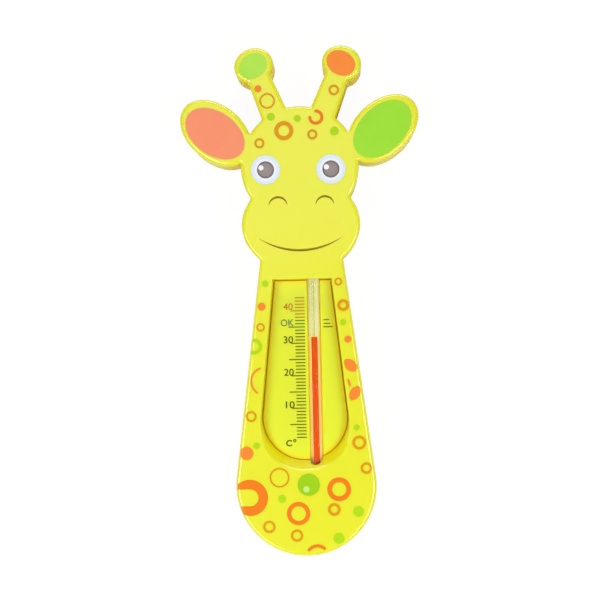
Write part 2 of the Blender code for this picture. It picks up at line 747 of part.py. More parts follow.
def print_spots(face, inks):
    """Rings, dots and leaves beside the window, on the base and above the eyes."""
    skull = SKULL_HALF_WIDTH
    base = BASE_RADIUS

    def on_head(across, up):
        return (across * skull, SKULL_HEIGHT + up * skull)

    def on_base(across, up):
        return (across * base, base + up * base)

    def on_neck(side, share, from_edge):
        height = base + share * (NECK_HEIGHT - base)
        return (side * (neck_half_width(height) - from_edge), height)

    def on_left_horn(along, across):
        x, y = on_horn(along, across)
        return (-x, y)

    # Name, ink, centre, radius, and the radius of the hole or 0 for a dot
    spots = [
        ("horn_dot_left", "orange", on_left_horn(0.0160, 0.0019), 0.0014, 0.0),
        ("horn_ring_left", "orange", on_left_horn(0.0101, 0.0004), 0.0031, 0.0025),
        ("horn_ring_right", "orange", on_horn(0.0141, 0.0009), 0.0021, 0.0013),
        ("brow_dot_left", "green", on_head(-0.47, 0.83), 0.0015, 0.0),
        ("brow_dot_middle", "green", on_head(-0.02, 0.79), 0.0014, 0.0),
        ("brow_dot_right", "green", on_head(0.60, 0.56), 0.0018, 0.0),
        ("brow_ring_large", "orange", on_head(-0.26, 0.58), 0.0039, 0.0023),
        ("brow_ring_left", "orange", on_head(-0.67, 0.39), 0.0021, 0.0013),
        ("brow_ring_right", "orange", on_head(0.22, 0.51), 0.0021, 0.0012),
        ("neck_dot_left_top", "green", on_neck(-1, 0.894, 0.0032), 0.0014, 0.0),
        ("neck_dot_left_upper", "orange", on_neck(-1, 0.794, 0.0027), 0.0016, 0.0),
        ("neck_ring_left_upper", "orange", on_neck(-1, 0.703, 0.0031), 0.0018, 0.0010),
        ("neck_ring_left_cut", "green", on_neck(-1, 0.619, 0.0015), 0.0030, 0.0017),
        ("neck_ring_left_low", "orange", on_neck(-1, 0.310, 0.0031), 0.0022, 0.0014),
        ("neck_dot_left_low", "green", on_neck(-1, 0.181, 0.0065), 0.0014, 0.0),
        ("neck_dot_left_large", "orange", on_neck(-1, 0.148, 0.0029), 0.0027, 0.0),
        ("neck_ring_right_top", "orange", on_neck(1, 0.898, 0.0033), 0.0017, 0.0009),
        ("neck_ring_right_cut", "orange", on_neck(1, 0.794, 0.0026), 0.0024, 0.0012),
        ("neck_dot_right_upper", "green", on_neck(1, 0.719, 0.0037), 0.0013, 0.0),
        ("neck_dot_right_orange", "orange", on_neck(1, 0.643, 0.0028), 0.0014, 0.0),
        ("neck_dot_right_low", "green", on_neck(1, 0.255, 0.0045), 0.0011, 0.0),
        ("neck_ring_right_low", "orange", on_neck(1, 0.188, 0.0044), 0.0027, 0.0017),
        ("base_ring_right_top", "orange", on_base(0.857, 0.243), 0.0023, 0.0014),
        ("base_ring_left_cut", "orange", on_base(-0.815, -0.156), 0.0071, 0.0034),
        ("base_ring_thin", "orange", on_base(-0.377, 0.125), 0.0039, 0.0032),
        ("base_dot_large", "green", on_base(0.037, 0.020), 0.0044, 0.0),
        ("base_ring_right", "orange", on_base(0.466, -0.051), 0.0047, 0.0028),
        ("base_dot_left", "green", on_base(-0.346, -0.175), 0.0016, 0.0),
        ("base_ring_middle", "orange", on_base(-0.116, -0.388), 0.0046, 0.0029),
        ("base_ring_inner", "orange", on_base(0.391, -0.335), 0.0025, 0.0014),
        ("base_dot_right", "green", on_base(0.734, -0.367), 0.0021, 0.0),
        ("base_ring_left_low", "orange", on_base(-0.536, -0.572), 0.0025, 0.0015),
        ("base_ring_low", "orange", on_base(-0.144, -0.700), 0.0025, 0.0015),
        ("base_dot_low", "green", on_base(0.450, -0.745), 0.0021, 0.0),
        ("base_ring_bottom_cut", "orange", on_base(0.140, -0.964), 0.0041, 0.0029),
    ]
    for name, ink, centre, radius, hole in spots:
        holes = [circle(centre, hole)] if hole else []
        printed(name, inks[ink], face, circle(centre, radius), holes)

    # A ring with a gap at its upper left
    centre = on_head(0.29, 0.80)
    span = 2.0 * OPEN_RING_RADIUS
    wedge = [(centre[0] + span * math.cos(a), centre[1] + span * math.sin(a)) for a in OPEN_RING_GAP]
    holes = [circle(centre, OPEN_RING_HOLE), [*reversed(wedge), centre]]
    printed("brow_ring_open", inks["orange"], face, circle(centre, OPEN_RING_RADIUS), holes)

    # A thin bow and three leaves beside the window
    centre = on_neck(-1, 0.465, 0.0078)
    bow = arc(centre, BOW_RADIUS, BOW_START, BOW_END)
    inner = arc(centre, BOW_RADIUS - BOW_WIDTH, BOW_END, BOW_START)
    printed("neck_bow_left", inks["orange"], face, bow + inner)

    # Name, centre, half the length, bulge of each arc, tilt
    leaves = [
        ("neck_leaf_right_upper", on_neck(1, 0.529, 0.0034), 0.0032, 0.0021, math.radians(-45.0)),
        ("neck_leaf_right_thin", on_neck(1, 0.452, 0.0050), 0.0018, 0.0005, math.radians(-75.0)),
        ("neck_leaf_right_lower", on_neck(1, 0.406, 0.0034), 0.0033, 0.0020, math.radians(58.0)),
    ]
    for name, centre, half_length, bulge, tilt in leaves:
        printed(name, inks["orange"], face, leaf(centre, half_length, bulge, tilt))


def build():
    for old in list(bpy.data.objects):
        bpy.data.objects.remove(old, do_unlink=True)
    outline = silhouette()
    root = bpy.data.objects.new("thermometer", None)
    lowest = min(y for x, y in outline)
    highest = max(y for x, y in outline)
    root.location = (0.0, -(lowest + highest) / 2.0, 0.0)
    bpy.context.scene.collection.objects.link(root)

    yellow = material("yellow_plastic", (240, 243, 70), 0.28)
    plate_yellow = material("plate_plastic", (227, 240, 64), 0.32)
    inks = {
        "coral": material("coral_ink", (249, 153, 114), 0.35),
        "orange": material("orange_ink", (254, 140, 60), 0.35),
        "green": material("green_ink", (168, 226, 66), 0.35),
        "white": material("white_ink", (245, 248, 255), 0.30),
        "brown": material("brown_ink", (150, 136, 132), 0.35),
    }
    face = build_front_shell(outline, yellow)
    build_back_shell(outline, yellow)
    build_scale_plate(plate_yellow)
    build_glass_tube(material("clear_glass", (250, 252, 250), 0.03, transmission=1.0))
    build_spirit(material("red_spirit", (232, 62, 24), 0.15))
    print_face(face, inks)
    print_spots(face, inks)


build()
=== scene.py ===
import json
import math

import bmesh
import bpy
import numpy as np
from mathutils import Matrix, Vector
from mathutils.geometry import delaunay_2d_cdt


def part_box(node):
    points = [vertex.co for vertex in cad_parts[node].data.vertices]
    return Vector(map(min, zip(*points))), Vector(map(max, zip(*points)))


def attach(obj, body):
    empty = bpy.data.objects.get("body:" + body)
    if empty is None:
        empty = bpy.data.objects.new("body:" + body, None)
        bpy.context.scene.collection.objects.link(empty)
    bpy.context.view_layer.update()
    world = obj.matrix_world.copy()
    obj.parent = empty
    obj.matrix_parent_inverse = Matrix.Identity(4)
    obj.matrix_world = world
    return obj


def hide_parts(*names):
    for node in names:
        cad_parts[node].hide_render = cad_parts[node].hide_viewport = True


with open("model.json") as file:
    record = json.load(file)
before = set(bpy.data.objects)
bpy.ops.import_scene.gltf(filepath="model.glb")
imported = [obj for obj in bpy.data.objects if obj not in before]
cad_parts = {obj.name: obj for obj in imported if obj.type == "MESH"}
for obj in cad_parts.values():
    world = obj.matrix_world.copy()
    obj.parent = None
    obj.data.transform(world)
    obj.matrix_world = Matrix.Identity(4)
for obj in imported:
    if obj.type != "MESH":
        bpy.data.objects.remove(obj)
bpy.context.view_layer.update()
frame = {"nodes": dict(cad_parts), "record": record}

print("frame loaded:", len(frame["nodes"]), "nodes")

# Every size below is in millimetres. A place on the face is (x, height), the height measured
# along the thermometer from its round end. A level is measured up from the flat back.
mm = 0.001
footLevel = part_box("front_shell")[0][1]  # in metres
faceTop = 15.0  # level of the face
curveStep = 0.35  # usual length of one step along a curve
sharpFrom = 35.0  # an edge that turns by more degrees stays sharp


def atPlace(x, height, level):
    return (x * mm, footLevel + height * mm, level * mm)


def eased(share):  # 0 to 1 with a level start and end
    return share * share * (3.0 - 2.0 * share)


def linked(name, data):
    item = bpy.data.objects.new(name, data)
    bpy.context.scene.collection.objects.link(item)
    return item


# Flat shapes: a loop is a list of (x, height) points that runs anticlockwise.

def pointAt(centre, radius, angle):
    return (centre[0] + radius * math.cos(angle), centre[1] + radius * math.sin(angle))


def turnedPoint(centre, along, across, turn):
    return (centre[0] + along * math.cos(turn) - across * math.sin(turn),
            centre[1] + along * math.sin(turn) + across * math.cos(turn))


def anglesBetween(start, end, count):  # in radians, from a start and an end in degrees
    return [math.radians(start + (end - start) * i / count) for i in range(count + 1)]


def arcPoints(centre, radius, start, end, step=curveStep):
    count = max(6, math.ceil(abs(math.radians(end - start)) * radius / step))
    return [pointAt(centre, radius, angle) for angle in anglesBetween(start, end, count)]


def ellipseLoop(centre, halfLong, halfWide, tilt=0.0, count=0):
    count = count or max(40, math.ceil(2.0 * math.pi * halfLong / curveStep))
    loop = []
    for i in range(count):
        angle = 2.0 * math.pi * i / count
        along, across = halfLong * math.cos(angle), halfWide * math.sin(angle)
        loop.append(turnedPoint(centre, along, across, math.radians(tilt)))
    return loop


def circleLoop(centre, radius, count=0):
    return ellipseLoop(centre, radius, radius, count=count)


def boxLoop(left, right, low, high):
    return [(left, low), (right, low), (right, high), (left, high)]


def mirroredLoop(loop, side):
    return loop if side > 0 else [(-x, y) for x, y in reversed(loop)]


def loopArea(loop):
    return 0.5 * sum(a[0] * b[1] - b[0] * a[1] for a, b in zip(loop, loop[1:] + loop[:1]))


def movedIn(loop, distance):  # along the normals; a negative distance moves it out
    points = np.array(loop)
    tangent = np.roll(points, -1, axis=0) - np.roll(points, 1, axis=0)
    tangent /= np.linalg.norm(tangent, axis=1)[:, None]
    inward = np.stack([-tangent[:, 1], tangent[:, 0]], axis=1)
    return [tuple(p) for p in points + inward * distance]


def evenlySpaced(loop, spacing):
    points = np.array(loop + loop[:1])
    lengths = np.concatenate([[0.0], np.cumsum(np.linalg.norm(np.diff(points, axis=0), axis=1))])
    count = int(round(lengths[-1] / spacing))
    marks = np.arange(count) * lengths[-1] / count
    return np.stack([np.interp(marks, lengths, points[:, axis]) for axis in (0, 1)], axis=1)


def softened(loop, spacing, spread):  # evenly spaced points with the corners rounded off
    points = evenlySpaced(loop, spacing)
    reach = int(3.0 * spread / spacing)
    shifts = range(-reach, reach + 1)
    weights = np.array([math.exp(-0.5 * (i * spacing / spread) ** 2) for i in shifts])
    weights /= weights.sum()
    smooth = sum(w * np.roll(points, -i, axis=0) for i, w in zip(shifts, weights))
    return [tuple(p) for p in smooth]


def splitPlane(loops):  # triangles, each with the set of loops that it lies in
    points, faces = [], []
    for loop in loops:
        faces.append(list(range(len(points), len(points) + len(loop))))
        points.extend(loop)
    corners, _, triangles, sources, _, owners = delaunay_2d_cdt(
        [Vector(p) for p in points], [], faces, 1, 1e-6)  # 1: only what lies inside the loops
    places = [tuple(points[f[0]]) if f else tuple(c) for c, f in zip(corners, sources)]
    return places, [(tuple(t), set(o)) for t, o in zip(triangles, owners)]


def borderOf(triangles):
    edges = {(t[i - 1], t[i]) for t in triangles for i in range(3)}
    return [e for e in edges if (e[1], e[0]) not in edges]


def unionOf(loops):
    places, pieces = splitPlane(loops)
    following = dict(borderOf([t for t, owner in pieces]))
    start = min(following, key=lambda i: (places[i][1], places[i][0]))
    loop, i = [], start
    while not loop or i != start:
        loop.append(places[i])
        i = following[i]
    return loop


class Skin:  # gathers the faces of one piece, in millimetres
    def __init__(self):
        self.corners, self.known, self.faces, self.kinds = [], {}, [], []

    def corner(self, x, y, z):
        key = (round(x, 5), round(y, 5), round(z, 5))
        if key not in self.known:
            self.known[key] = len(self.corners)
            self.corners.append(atPlace(x, y, z))
        return self.known[key]

    def face(self, points, kind=0):
        ids = []  # corners that fall together are taken once
        for p in points:
            i = self.corner(*p)
            if i not in ids:
                ids.append(i)
        if len(ids) > 2:
            self.faces.append(ids)
            self.kinds.append(kind)

    def strip(self, first, second, closed=False, kind=0):
        count = len(first)
        for i in range(count if closed else count - 1):
            j = (i + 1) % count
            self.face([first[i], first[j], second[j], second[i]], kind)

    def band(self, lower, lowLevel, upper, highLevel):
        self.strip([(*p, lowLevel) for p in lower], [(*p, highLevel) for p in upper], True)

    def rise(self, rows):  # bands from each (loop, level) to the next
        for (lower, lowLevel), (upper, highLevel) in zip(rows, rows[1:]):
            self.band(lower, lowLevel, upper, highLevel)

    def sheet(self, level, outer, holes=()):
        places, pieces = splitPlane([outer, *holes])
        for triangle, owner in pieces:
            if owner == {0}:
                self.face([(*places[i], level) for i in triangle])

    def boss(self, loop, root, end):  # a post or a rib, closed at its free end
        self.band(loop, root, loop, end)
        self.sheet(end, loop)

    def loft(self, rings):  # joins rings of points and closes both ends
        for first, second in zip(rings, rings[1:]):
            self.strip(first, second, True)
        self.face(rings[0])
        self.face(rings[-1])

    def piece(self, name):
        mesh = bpy.data.meshes.new(name)
        mesh.from_pydata(self.corners, [], self.faces)
        for polygon, kind in zip(mesh.polygons, self.kinds):
            polygon.material_index = kind
        tidy = bmesh.new()
        tidy.from_mesh(mesh)
        bmesh.ops.recalc_face_normals(tidy, faces=tidy.faces)
        tidy.to_mesh(mesh)
        tidy.free()
        return linked(name, mesh)

    def made(self, name, looks, nodes, slot, sharp=sharpFrom):
        finished(self.piece(name), looks, nodes, sharp)


def finished(piece, looks, nodes, sharp=sharpFrom):
    for look in looks:
        piece.data.materials.append(look)
    piece.data.shade_smooth()
    piece.data.set_sharp_from_angle(angle=math.radians(sharp))
    flat = piece.modifiers.new("level faces", "WEIGHTED_NORMAL")
    flat.keep_sharp = True
    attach(piece, "root")
    if nodes:
        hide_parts(*nodes)


def evaluatedMesh(item):
    graph = bpy.context.evaluated_depsgraph_get()
    return bpy.data.meshes.new_from_object(item.evaluated_get(graph))


def cutWith(piece, cutters):  # takes the cutters' forms out of the piece's mesh
    for cutter in cutters:
        cut = piece.modifiers.new(cutter.name, "BOOLEAN")
        cut.operation, cut.solver, cut.object = "DIFFERENCE", "EXACT", cutter
    mesh = evaluatedMesh(piece)
    piece.modifiers.clear()
    piece.data = mesh
    for cutter in cutters:
        bpy.data.objects.remove(cutter)


class Wire:  # a shader socket that takes part in Python maths
    def __init__(self, finish, socket):
        self.finish, self.socket = finish, socket

    def maths(self, operation, *values):
        return self.finish.node("ShaderNodeMath", {"operation": operation}, dict(enumerate(values)))

    def __add__(self, other):
        return self.maths("ADD", self, other)

    def __radd__(self, other):
        return self.maths("ADD", other, self)

    def __sub__(self, other):
        return self.maths("SUBTRACT", self, other)

    def __rsub__(self, other):
        return self.maths("SUBTRACT", other, self)

    def __mul__(self, other):
        return self.maths("MULTIPLY", self, other)

    def __rmul__(self, other):
        return self.maths("MULTIPLY", other, self)

    def __truediv__(self, other):
        return self.maths("DIVIDE", self, other)

    def __rtruediv__(self, other):
        return self.maths("DIVIDE", other, self)

    def clamped(self):
        return self.maths("MINIMUM", self.maths("MAXIMUM", self, 0.0), 1.0)


class Finish:  # one material, built from its nodes
    def __init__(self, name):
        self.material = bpy.data.materials.new(name)
        self.material.use_nodes = True
        self.material.node_tree.nodes.clear()

    def node(self, kind, settings=None, sockets=None, output=0):
        tree = self.material.node_tree
        made = tree.nodes.new(kind)
        for key, value in (settings or {}).items():
            if key == "stops":
                ramp = made.color_ramp
                while len(ramp.elements) < len(value):
                    ramp.elements.new(0.5)
                for element, (place, colour) in zip(ramp.elements, value):
                    element.position, element.color = place, colour
            else:
                setattr(made, key, value)
        for key, value in (sockets or {}).items():
            if isinstance(value, Wire):
                tree.links.new(value.socket, made.inputs[key])
            else:
                made.inputs[key].default_value = value
        return Wire(self, made.outputs[output]) if made.outputs else None

    def place(self):
        return self.node("ShaderNodeTexCoord", output="Object")

    def axis(self, index):
        return self.node("ShaderNodeSeparateXYZ", {}, {0: self.place()}, index)

    def vectors(self, operation, *values, output=0):
        return self.node("ShaderNodeVectorMath", {"operation": operation}, dict(enumerate(values)),
                         output)

    def noise(self, scale, detail=2.0, roughness=0.5, stretch=None):
        where = self.vectors("MULTIPLY", self.place(), stretch) if stretch else self.place()
        return self.node("ShaderNodeTexNoise", {}, {
            "Vector": where, "Scale": scale, "Detail": detail, "Roughness": roughness})

    def blend(self, share, first, second):
        return self.node("ShaderNodeMix", {"data_type": "RGBA"}, {0: share, 6: first, 7: second}, 2)

    def bump(self, height, distance):
        return self.node("ShaderNodeBump", {}, {"Height": height, "Distance": distance})

    def ray(self, kind):
        return self.node("ShaderNodeLightPath", output=kind)

    def mixed(self, share, first, second):
        return self.node("ShaderNodeMixShader", {}, {0: share, 1: first, 2: second})

    def clearInShadow(self, shader, tint):  # shadow rays pass, coloured by the tint
        clear = self.node("ShaderNodeBsdfTransparent", {}, {"Color": tint})
        return self.mixed(self.ray("Is Shadow Ray"), shader, clear)

    def principled(self, **sockets):
        named = {key.replace("_", " "): value for key, value in sockets.items()}
        return self.node("ShaderNodeBsdfPrincipled", {}, named)

    def shown(self, shader):
        self.node("ShaderNodeOutputMaterial", {}, {"Surface": shader})
        return self.material


def seen(red, green, blue):  # a colour as a screen shows it, 0 to 255
    shares = [v / 255.0 for v in (red, green, blue)]
    return (*[s / 12.92 if s <= 0.04045 else ((s + 0.055) / 1.055) ** 2.4 for s in shares], 1.0)


plasticLook = {
    "shell": seen(243, 243, 50), "shellDeep": seen(241, 241, 40), "shellSmooth": 0.21,
    # the two wall colours are painted shade: amber on the walls below the face and in the window
    # well, deeper further down
    "wall": seen(254, 246, 16), "deepWallShade": seen(250, 218, 6), "wallShadeReach": 2.0, "deepWallShadeReach": 6.0,
    "plate": seen(234, 243, 52), "plateDeep": seen(231, 240, 42), "plateSmooth": 0.27,
    # painted shade beside the seam round the scale plate and in the tube's groove
    "seam": seen(248, 218, 6),
    # painted shade in the beds of the mouth and nostril grooves
    "groove": seen(176, 160, 32), "grooveDeep": seen(164, 148, 26), "grooveSmooth": 0.42,
    "swirlScale": 38.0, "swirlGain": 1.4, "swirlShift": 0.25,
    "grainScale": 900.0, "grainRise": 0.15, "grainRoughness": 0.07,
    "waveScale": 160.0, "waveHeight": 0.010,
    "coatRoughness": 0.17, "coatIor": 1.62, "coatFade": 0.85, "ior": 1.46,
    "softness": 0.55, "spread": (1.0, 0.76, 0.10), "depth": 1.4,
}


def mouldedPlastic(name, part, paintedShades=(), look=plasticLook):
    finish = Finish(name)
    swirl = finish.noise(look["swirlScale"], detail=3.0)
    grain = finish.noise(look["grainScale"], roughness=0.6)
    wave = finish.noise(look["waveScale"], detail=1.0)
    share = (swirl * look["swirlGain"] - look["swirlShift"]).clamped()
    tone = finish.blend(share, look[part], look[part + "Deep"])
    coat = 1.0
    # each of these colours is painted shade, blended in by its mask; the coat thins where it lies
    for tint, amountOf in paintedShades:
        amount = amountOf(finish)
        tone = finish.blend(amount, tone, tint)
        coat = (1.0 - amount * look["coatFade"]) * coat
    bump = finish.bump(wave + grain * look["grainRise"], look["waveHeight"] * mm)
    return finish.shown(finish.principled(
        Base_Color=tone, Normal=bump, IOR=look["ior"],
        Roughness=look[part + "Smooth"] + grain * look["grainRoughness"],
        Coat_Weight=coat, Coat_Roughness=look["coatRoughness"], Coat_IOR=look["coatIor"],
        Subsurface_Weight=look["softness"], Subsurface_Radius=look["spread"],
        Subsurface_Scale=look["depth"] * mm))


def depthShadeShare(near, far):  # grows with the depth below the face or above the back: the mask of painted wall shade
    def share(finish):
        level = finish.axis(2)
        inside = level.maths("MINIMUM", level, faceTop * mm - level)
        return ((inside - near * mm) / ((far - near) * mm)).clamped()
    return share


def seamShadeShare(finish):  # the mask of painted shade: 1 at the seam round the scale plate and in its groove
    return finish.node("ShaderNodeAttribute", {"attribute_name": "seam"}, output="Fac")


near, far = plasticLook["wallShadeReach"], plasticLook["deepWallShadeReach"]
wallShadeTints = [(plasticLook["wall"], depthShadeShare(0.0, near)),
             (plasticLook["deepWallShade"], depthShadeShare(near, far))]
shellPlastic = mouldedPlastic("moulded yellow", "shell", wallShadeTints)
platePlastic = mouldedPlastic("plate yellow", "plate", [(plasticLook["seam"], seamShadeShare)])
grooveBedShade = mouldedPlastic("groove shade", "groove")

inkLook = {
    "coral": (seen(254, 156, 114), seen(252, 145, 108)),
    "apricot": (seen(252, 146, 54), seen(248, 134, 46)),
    "orange": (seen(247, 132, 22), seen(241, 122, 18)),
    "tangerine": (seen(255, 148, 62), seen(255, 140, 54)),
    "amber": (seen(234, 158, 8), seen(226, 148, 6)),
    "green": (seen(165, 212, 18), seen(151, 205, 15)),
    "leafGreen": (seen(168, 233, 62), seen(156, 225, 52)),
    "paleGreen": (seen(188, 240, 86), seen(178, 233, 76)),
    "lime": (seen(184, 226, 10), seen(172, 218, 8)),
    "white": (seen(250, 252, 255), seen(244, 247, 253)),
    "spark": (seen(206, 240, 130), seen(196, 234, 116)),
}
filmLook = {
    "cloudScale": 150.0, "cloudGain": 1.1, "cloudShift": 0.2, "dotScale": 2600.0, "dotShare": 0.35,
    "dotHeight": 0.004, "smooth": 0.28, "dotRoughness": 0.08, "shine": 0.3, "ior": 1.46,
}


def inkFilm(name, colour, deep, look=filmLook):
    finish = Finish(name)
    cloud = finish.noise(look["cloudScale"])
    dots = finish.noise(look["dotScale"], detail=1.0, roughness=0.7)
    share = cloud * look["cloudGain"] - look["cloudShift"] + dots * look["dotShare"]
    return finish.shown(finish.principled(
        Base_Color=finish.blend(share.clamped(), colour, deep),
        Roughness=look["smooth"] + dots * look["dotRoughness"],
        Normal=finish.bump(dots, look["dotHeight"] * mm), IOR=look["ior"],
        Specular_IOR_Level=look["shine"]))


inks = {name: inkFilm(name + " ink", *pair) for name, pair in inkLook.items()}

ringedLook = {
    "dotScale": 2200.0, "dotGain": 1.1, "dotShift": 0.36, "smooth": 0.27, "dotRoughness": 0.06,
    "ior": 1.46,
}


def ringedInk(name, centre, stops, radius, speck, look=ringedLook):  # bands round a centre
    finish = Finish(name)
    offset = finish.vectors("SUBTRACT", finish.place(), atPlace(*centre, faceTop))
    length = finish.vectors("LENGTH", offset, output="Value")
    bands = finish.node("ShaderNodeValToRGB", {"stops": stops}, {"Fac": length / (radius * mm)})
    dots = finish.noise(look["dotScale"], roughness=0.7)
    share = (dots * look["dotGain"] - look["dotShift"]).clamped()
    return finish.shown(finish.principled(
        Base_Color=finish.blend(share, bands, speck),
        Roughness=look["smooth"] + dots * look["dotRoughness"], IOR=look["ior"]))


print("finishes ready")

outlineSizes = {
    "baseRadius": 27.6, "neckHeight": 116.5, "neckHalf": 16.3,
    "muzzle": (130.2, 23.3, 19.0), "skull": (153.3, 23.2, 23.3),
    "ear": (15.9, 10.8), "earDirection": 22.7, "earTilt": 40.6, "earOverlap": 2.6,
    "hornSpread": 7.9, "hornSink": 7.1, "hornLength": 25.4, "hornLean": 21.8,
    "hornRoot": 5.4, "hornTip": 4.4,
    "knob": (7.8, 6.8), "knobTilt": 18.2,
    "spacing": 0.5, "softCorner": 0.45,
}


def tangentAngle(centre, radius, point):
    span = math.dist(centre, point)
    return math.atan2(point[1] - centre[1], point[0] - centre[0]) - math.acos(radius / span)


def ellipseReach(halfLong, halfWide, degrees):
    angle = math.radians(degrees)
    return halfLong * halfWide / math.hypot(halfWide * math.cos(angle), halfLong * math.sin(angle))


def wholeOutline(s):
    base = (0.0, s["baseRadius"])
    chin = (s["neckHalf"], s["neckHeight"])
    start = tangentAngle(base, s["baseRadius"], chin)
    foot = pointAt(base, s["baseRadius"], start)
    muzzleHeight, muzzleWide, muzzleHigh = s["muzzle"]
    skullHeight, skullWide, skullHigh = s["skull"]
    topHalf = chin[0] + (chin[0] - foot[0]) / (chin[1] - foot[1]) * (muzzleHeight - chin[1])
    degrees = math.degrees(start)
    body = arcPoints(base, s["baseRadius"], 180.0 - degrees, 360.0 + degrees)
    body += [(topHalf, muzzleHeight), (-topHalf, muzzleHeight)]
    loops = [body, ellipseLoop((0.0, muzzleHeight), muzzleWide, muzzleHigh),
             ellipseLoop((0.0, skullHeight), skullWide, skullHigh)]
    span = ellipseReach(skullWide, skullHigh, s["earDirection"]) - s["earOverlap"]
    span += ellipseReach(*s["ear"], s["earTilt"] - s["earDirection"])
    direction, lean = math.radians(s["earDirection"]), math.radians(s["hornLean"])
    ear = pointAt((0.0, skullHeight), span, direction)
    root = (s["hornSpread"], skullHeight + skullHigh - s["hornSink"])

    def onHorn(along, across):
        return (root[0] + along * math.sin(lean) + across * math.cos(lean),
                root[1] + along * math.cos(lean) - across * math.sin(lean))

    horn = [onHorn(0.0, -s["hornRoot"]), onHorn(0.0, s["hornRoot"]),
            onHorn(s["hornLength"], s["hornTip"]), onHorn(s["hornLength"], -s["hornTip"])]
    knob = ellipseLoop(onHorn(s["hornLength"], 0.0), *s["knob"], -s["knobTilt"])
    for side in (-1, 1):
        for loop in (ellipseLoop(ear, *s["ear"], s["earTilt"]), horn, knob):
            loops.append(mirroredLoop(loop, side))
    return softened(unionOf(loops), s["spacing"], s["softCorner"])


def barAlong(name, section, start, end):  # a cutter, from its (x, level) section
    skin = Skin()
    skin.loft([[(x, height, level) for x, level in section] for height in (start, end)])
    return skin.piece(name)


outline = wholeOutline(outlineSizes)

shellSizes = {
    "thickness": faceTop, "parting": 4.5, "gap": 0.3, "wall": 1.8, "panel": 1.6,
    "frontEdge": 1.6, "backEdge": 1.3, "edgeSteps": 10,
    "lip": 0.7, "lipHeight": 1.2,
}
windowSizes = {  # tubeWay: x, level and radius
    "top": 108.5, "topHalf": 11.3, "radius": 17.0, "centre": 53.9, "depth": 5.0,
    "lean": 0.4, "scoop": 3.3, "scoopAngle": 60.0, "wall": 1.6, "overhang": 1.0, "steps": 14,
    "arcStep": 0.5, "sideSteps": 40, "topSteps": 12,
    "tubeWay": (4.3, 10.45, 2.5), "tubeWayEnds": (30.0, 112.1), "tubeWayDrop": 1.0,
}


def windowLoop(share, s=windowSizes):  # from the floor (0) to the face (1)
    centre = (0.0, s["centre"])
    start = tangentAngle(centre, s["radius"], (s["topHalf"], s["top"]))
    degrees = math.degrees(start)
    lean = s["lean"] * share
    loop = []
    for x, y in arcPoints(centre, s["radius"], 180.0 - degrees, 360.0 + degrees, s["arcStep"]):
        fall = math.asin(max(-1.0, min(1.0, (s["centre"] - y) / s["radius"])))
        part = (start + fall) / (start + math.radians(s["scoopAngle"]))
        scoop = share * s["scoop"] * eased(max(0.0, min(1.0, part)))
        grown = 1.0 + (lean + scoop) / s["radius"]
        loop.append((x * grown, s["centre"] + (y - s["centre"]) * grown))
    side, top = s["topHalf"] + lean, s["top"] + lean
    endX, endY = loop[-1]
    shares = [i / s["sideSteps"] for i in range(1, s["sideSteps"])]
    right = [(endX + (side - endX) * i, endY + (top - endY) * i) for i in shares]
    across = [(side - 2.0 * side * i / s["topSteps"], top) for i in range(s["topSteps"] + 1)]
    left = [(-x, y) for x, y in reversed(right)]
    return loop + right + across + left


rim = windowLoop(1.0)
floorLoop = windowLoop(0.0)
pinSizes = {"radius": 1.0, "end": 5.8,
            "places": [(-9.5, 23.8), (9.5, 23.8), (-9.5, 113.0), (9.5, 113.0)]}

# A crescent is x, height, radius, middle and half angle. The profile is (across, down) shares.
grooveSizes = {
    "smile": (-0.15, 149.6, 29.6, 270.0, 34.0),
    "nostrils": [(-8.72, 137.35, 3.62, 90.0, 85.0), (9.62, 137.3, 3.60, 90.0, 85.0)],
    "width": 0.95, "nostrilWidth": 0.85, "depth": 0.6, "steps": 48, "taper": 0.8,
    "profile": [(0.5, 0.0), (0.3, 0.65), (0.0, 1.0), (-0.3, 0.65), (-0.5, 0.0)],
}


def crescentRows(x, y, radius, middle, halfAngle, width, s=grooveSizes):
    rows = [[] for _ in s["profile"]]
    for i in range(s["steps"] + 1):
        angle = math.radians(middle + halfAngle * (2.0 * i / s["steps"] - 1.0))
        swell = math.sin(math.pi * i / s["steps"]) ** s["taper"]
        for row, (across, down) in zip(rows, s["profile"]):
            place = pointAt((x, y), radius + across * width * swell, angle)
            row.append((*place, shellSizes["thickness"] - down * s["depth"] * swell))
    return rows


grooves = [crescentRows(*grooveSizes["smile"], grooveSizes["width"])]
for nostril in grooveSizes["nostrils"]:
    grooves.append(crescentRows(*nostril, grooveSizes["nostrilWidth"]))


def grooveLoop(rows):
    loop = [p[:2] for p in rows[0]] + [p[:2] for p in reversed(rows[-1][1:-1])]
    return loop if loopArea(loop) > 0.0 else loop[::-1]


def roundedEdge(skin, loop, radius, level, side, steps):  # side: 1 at the face, -1 at the back
    rows = []
    for angle in anglesBetween(0.0, 90.0, steps):
        edge = movedIn(loop, radius * (1.0 - math.cos(angle)))
        rows.append((edge, level - side * radius * (1.0 - math.sin(angle))))
    skin.rise(rows)
    return rows[-1][0]


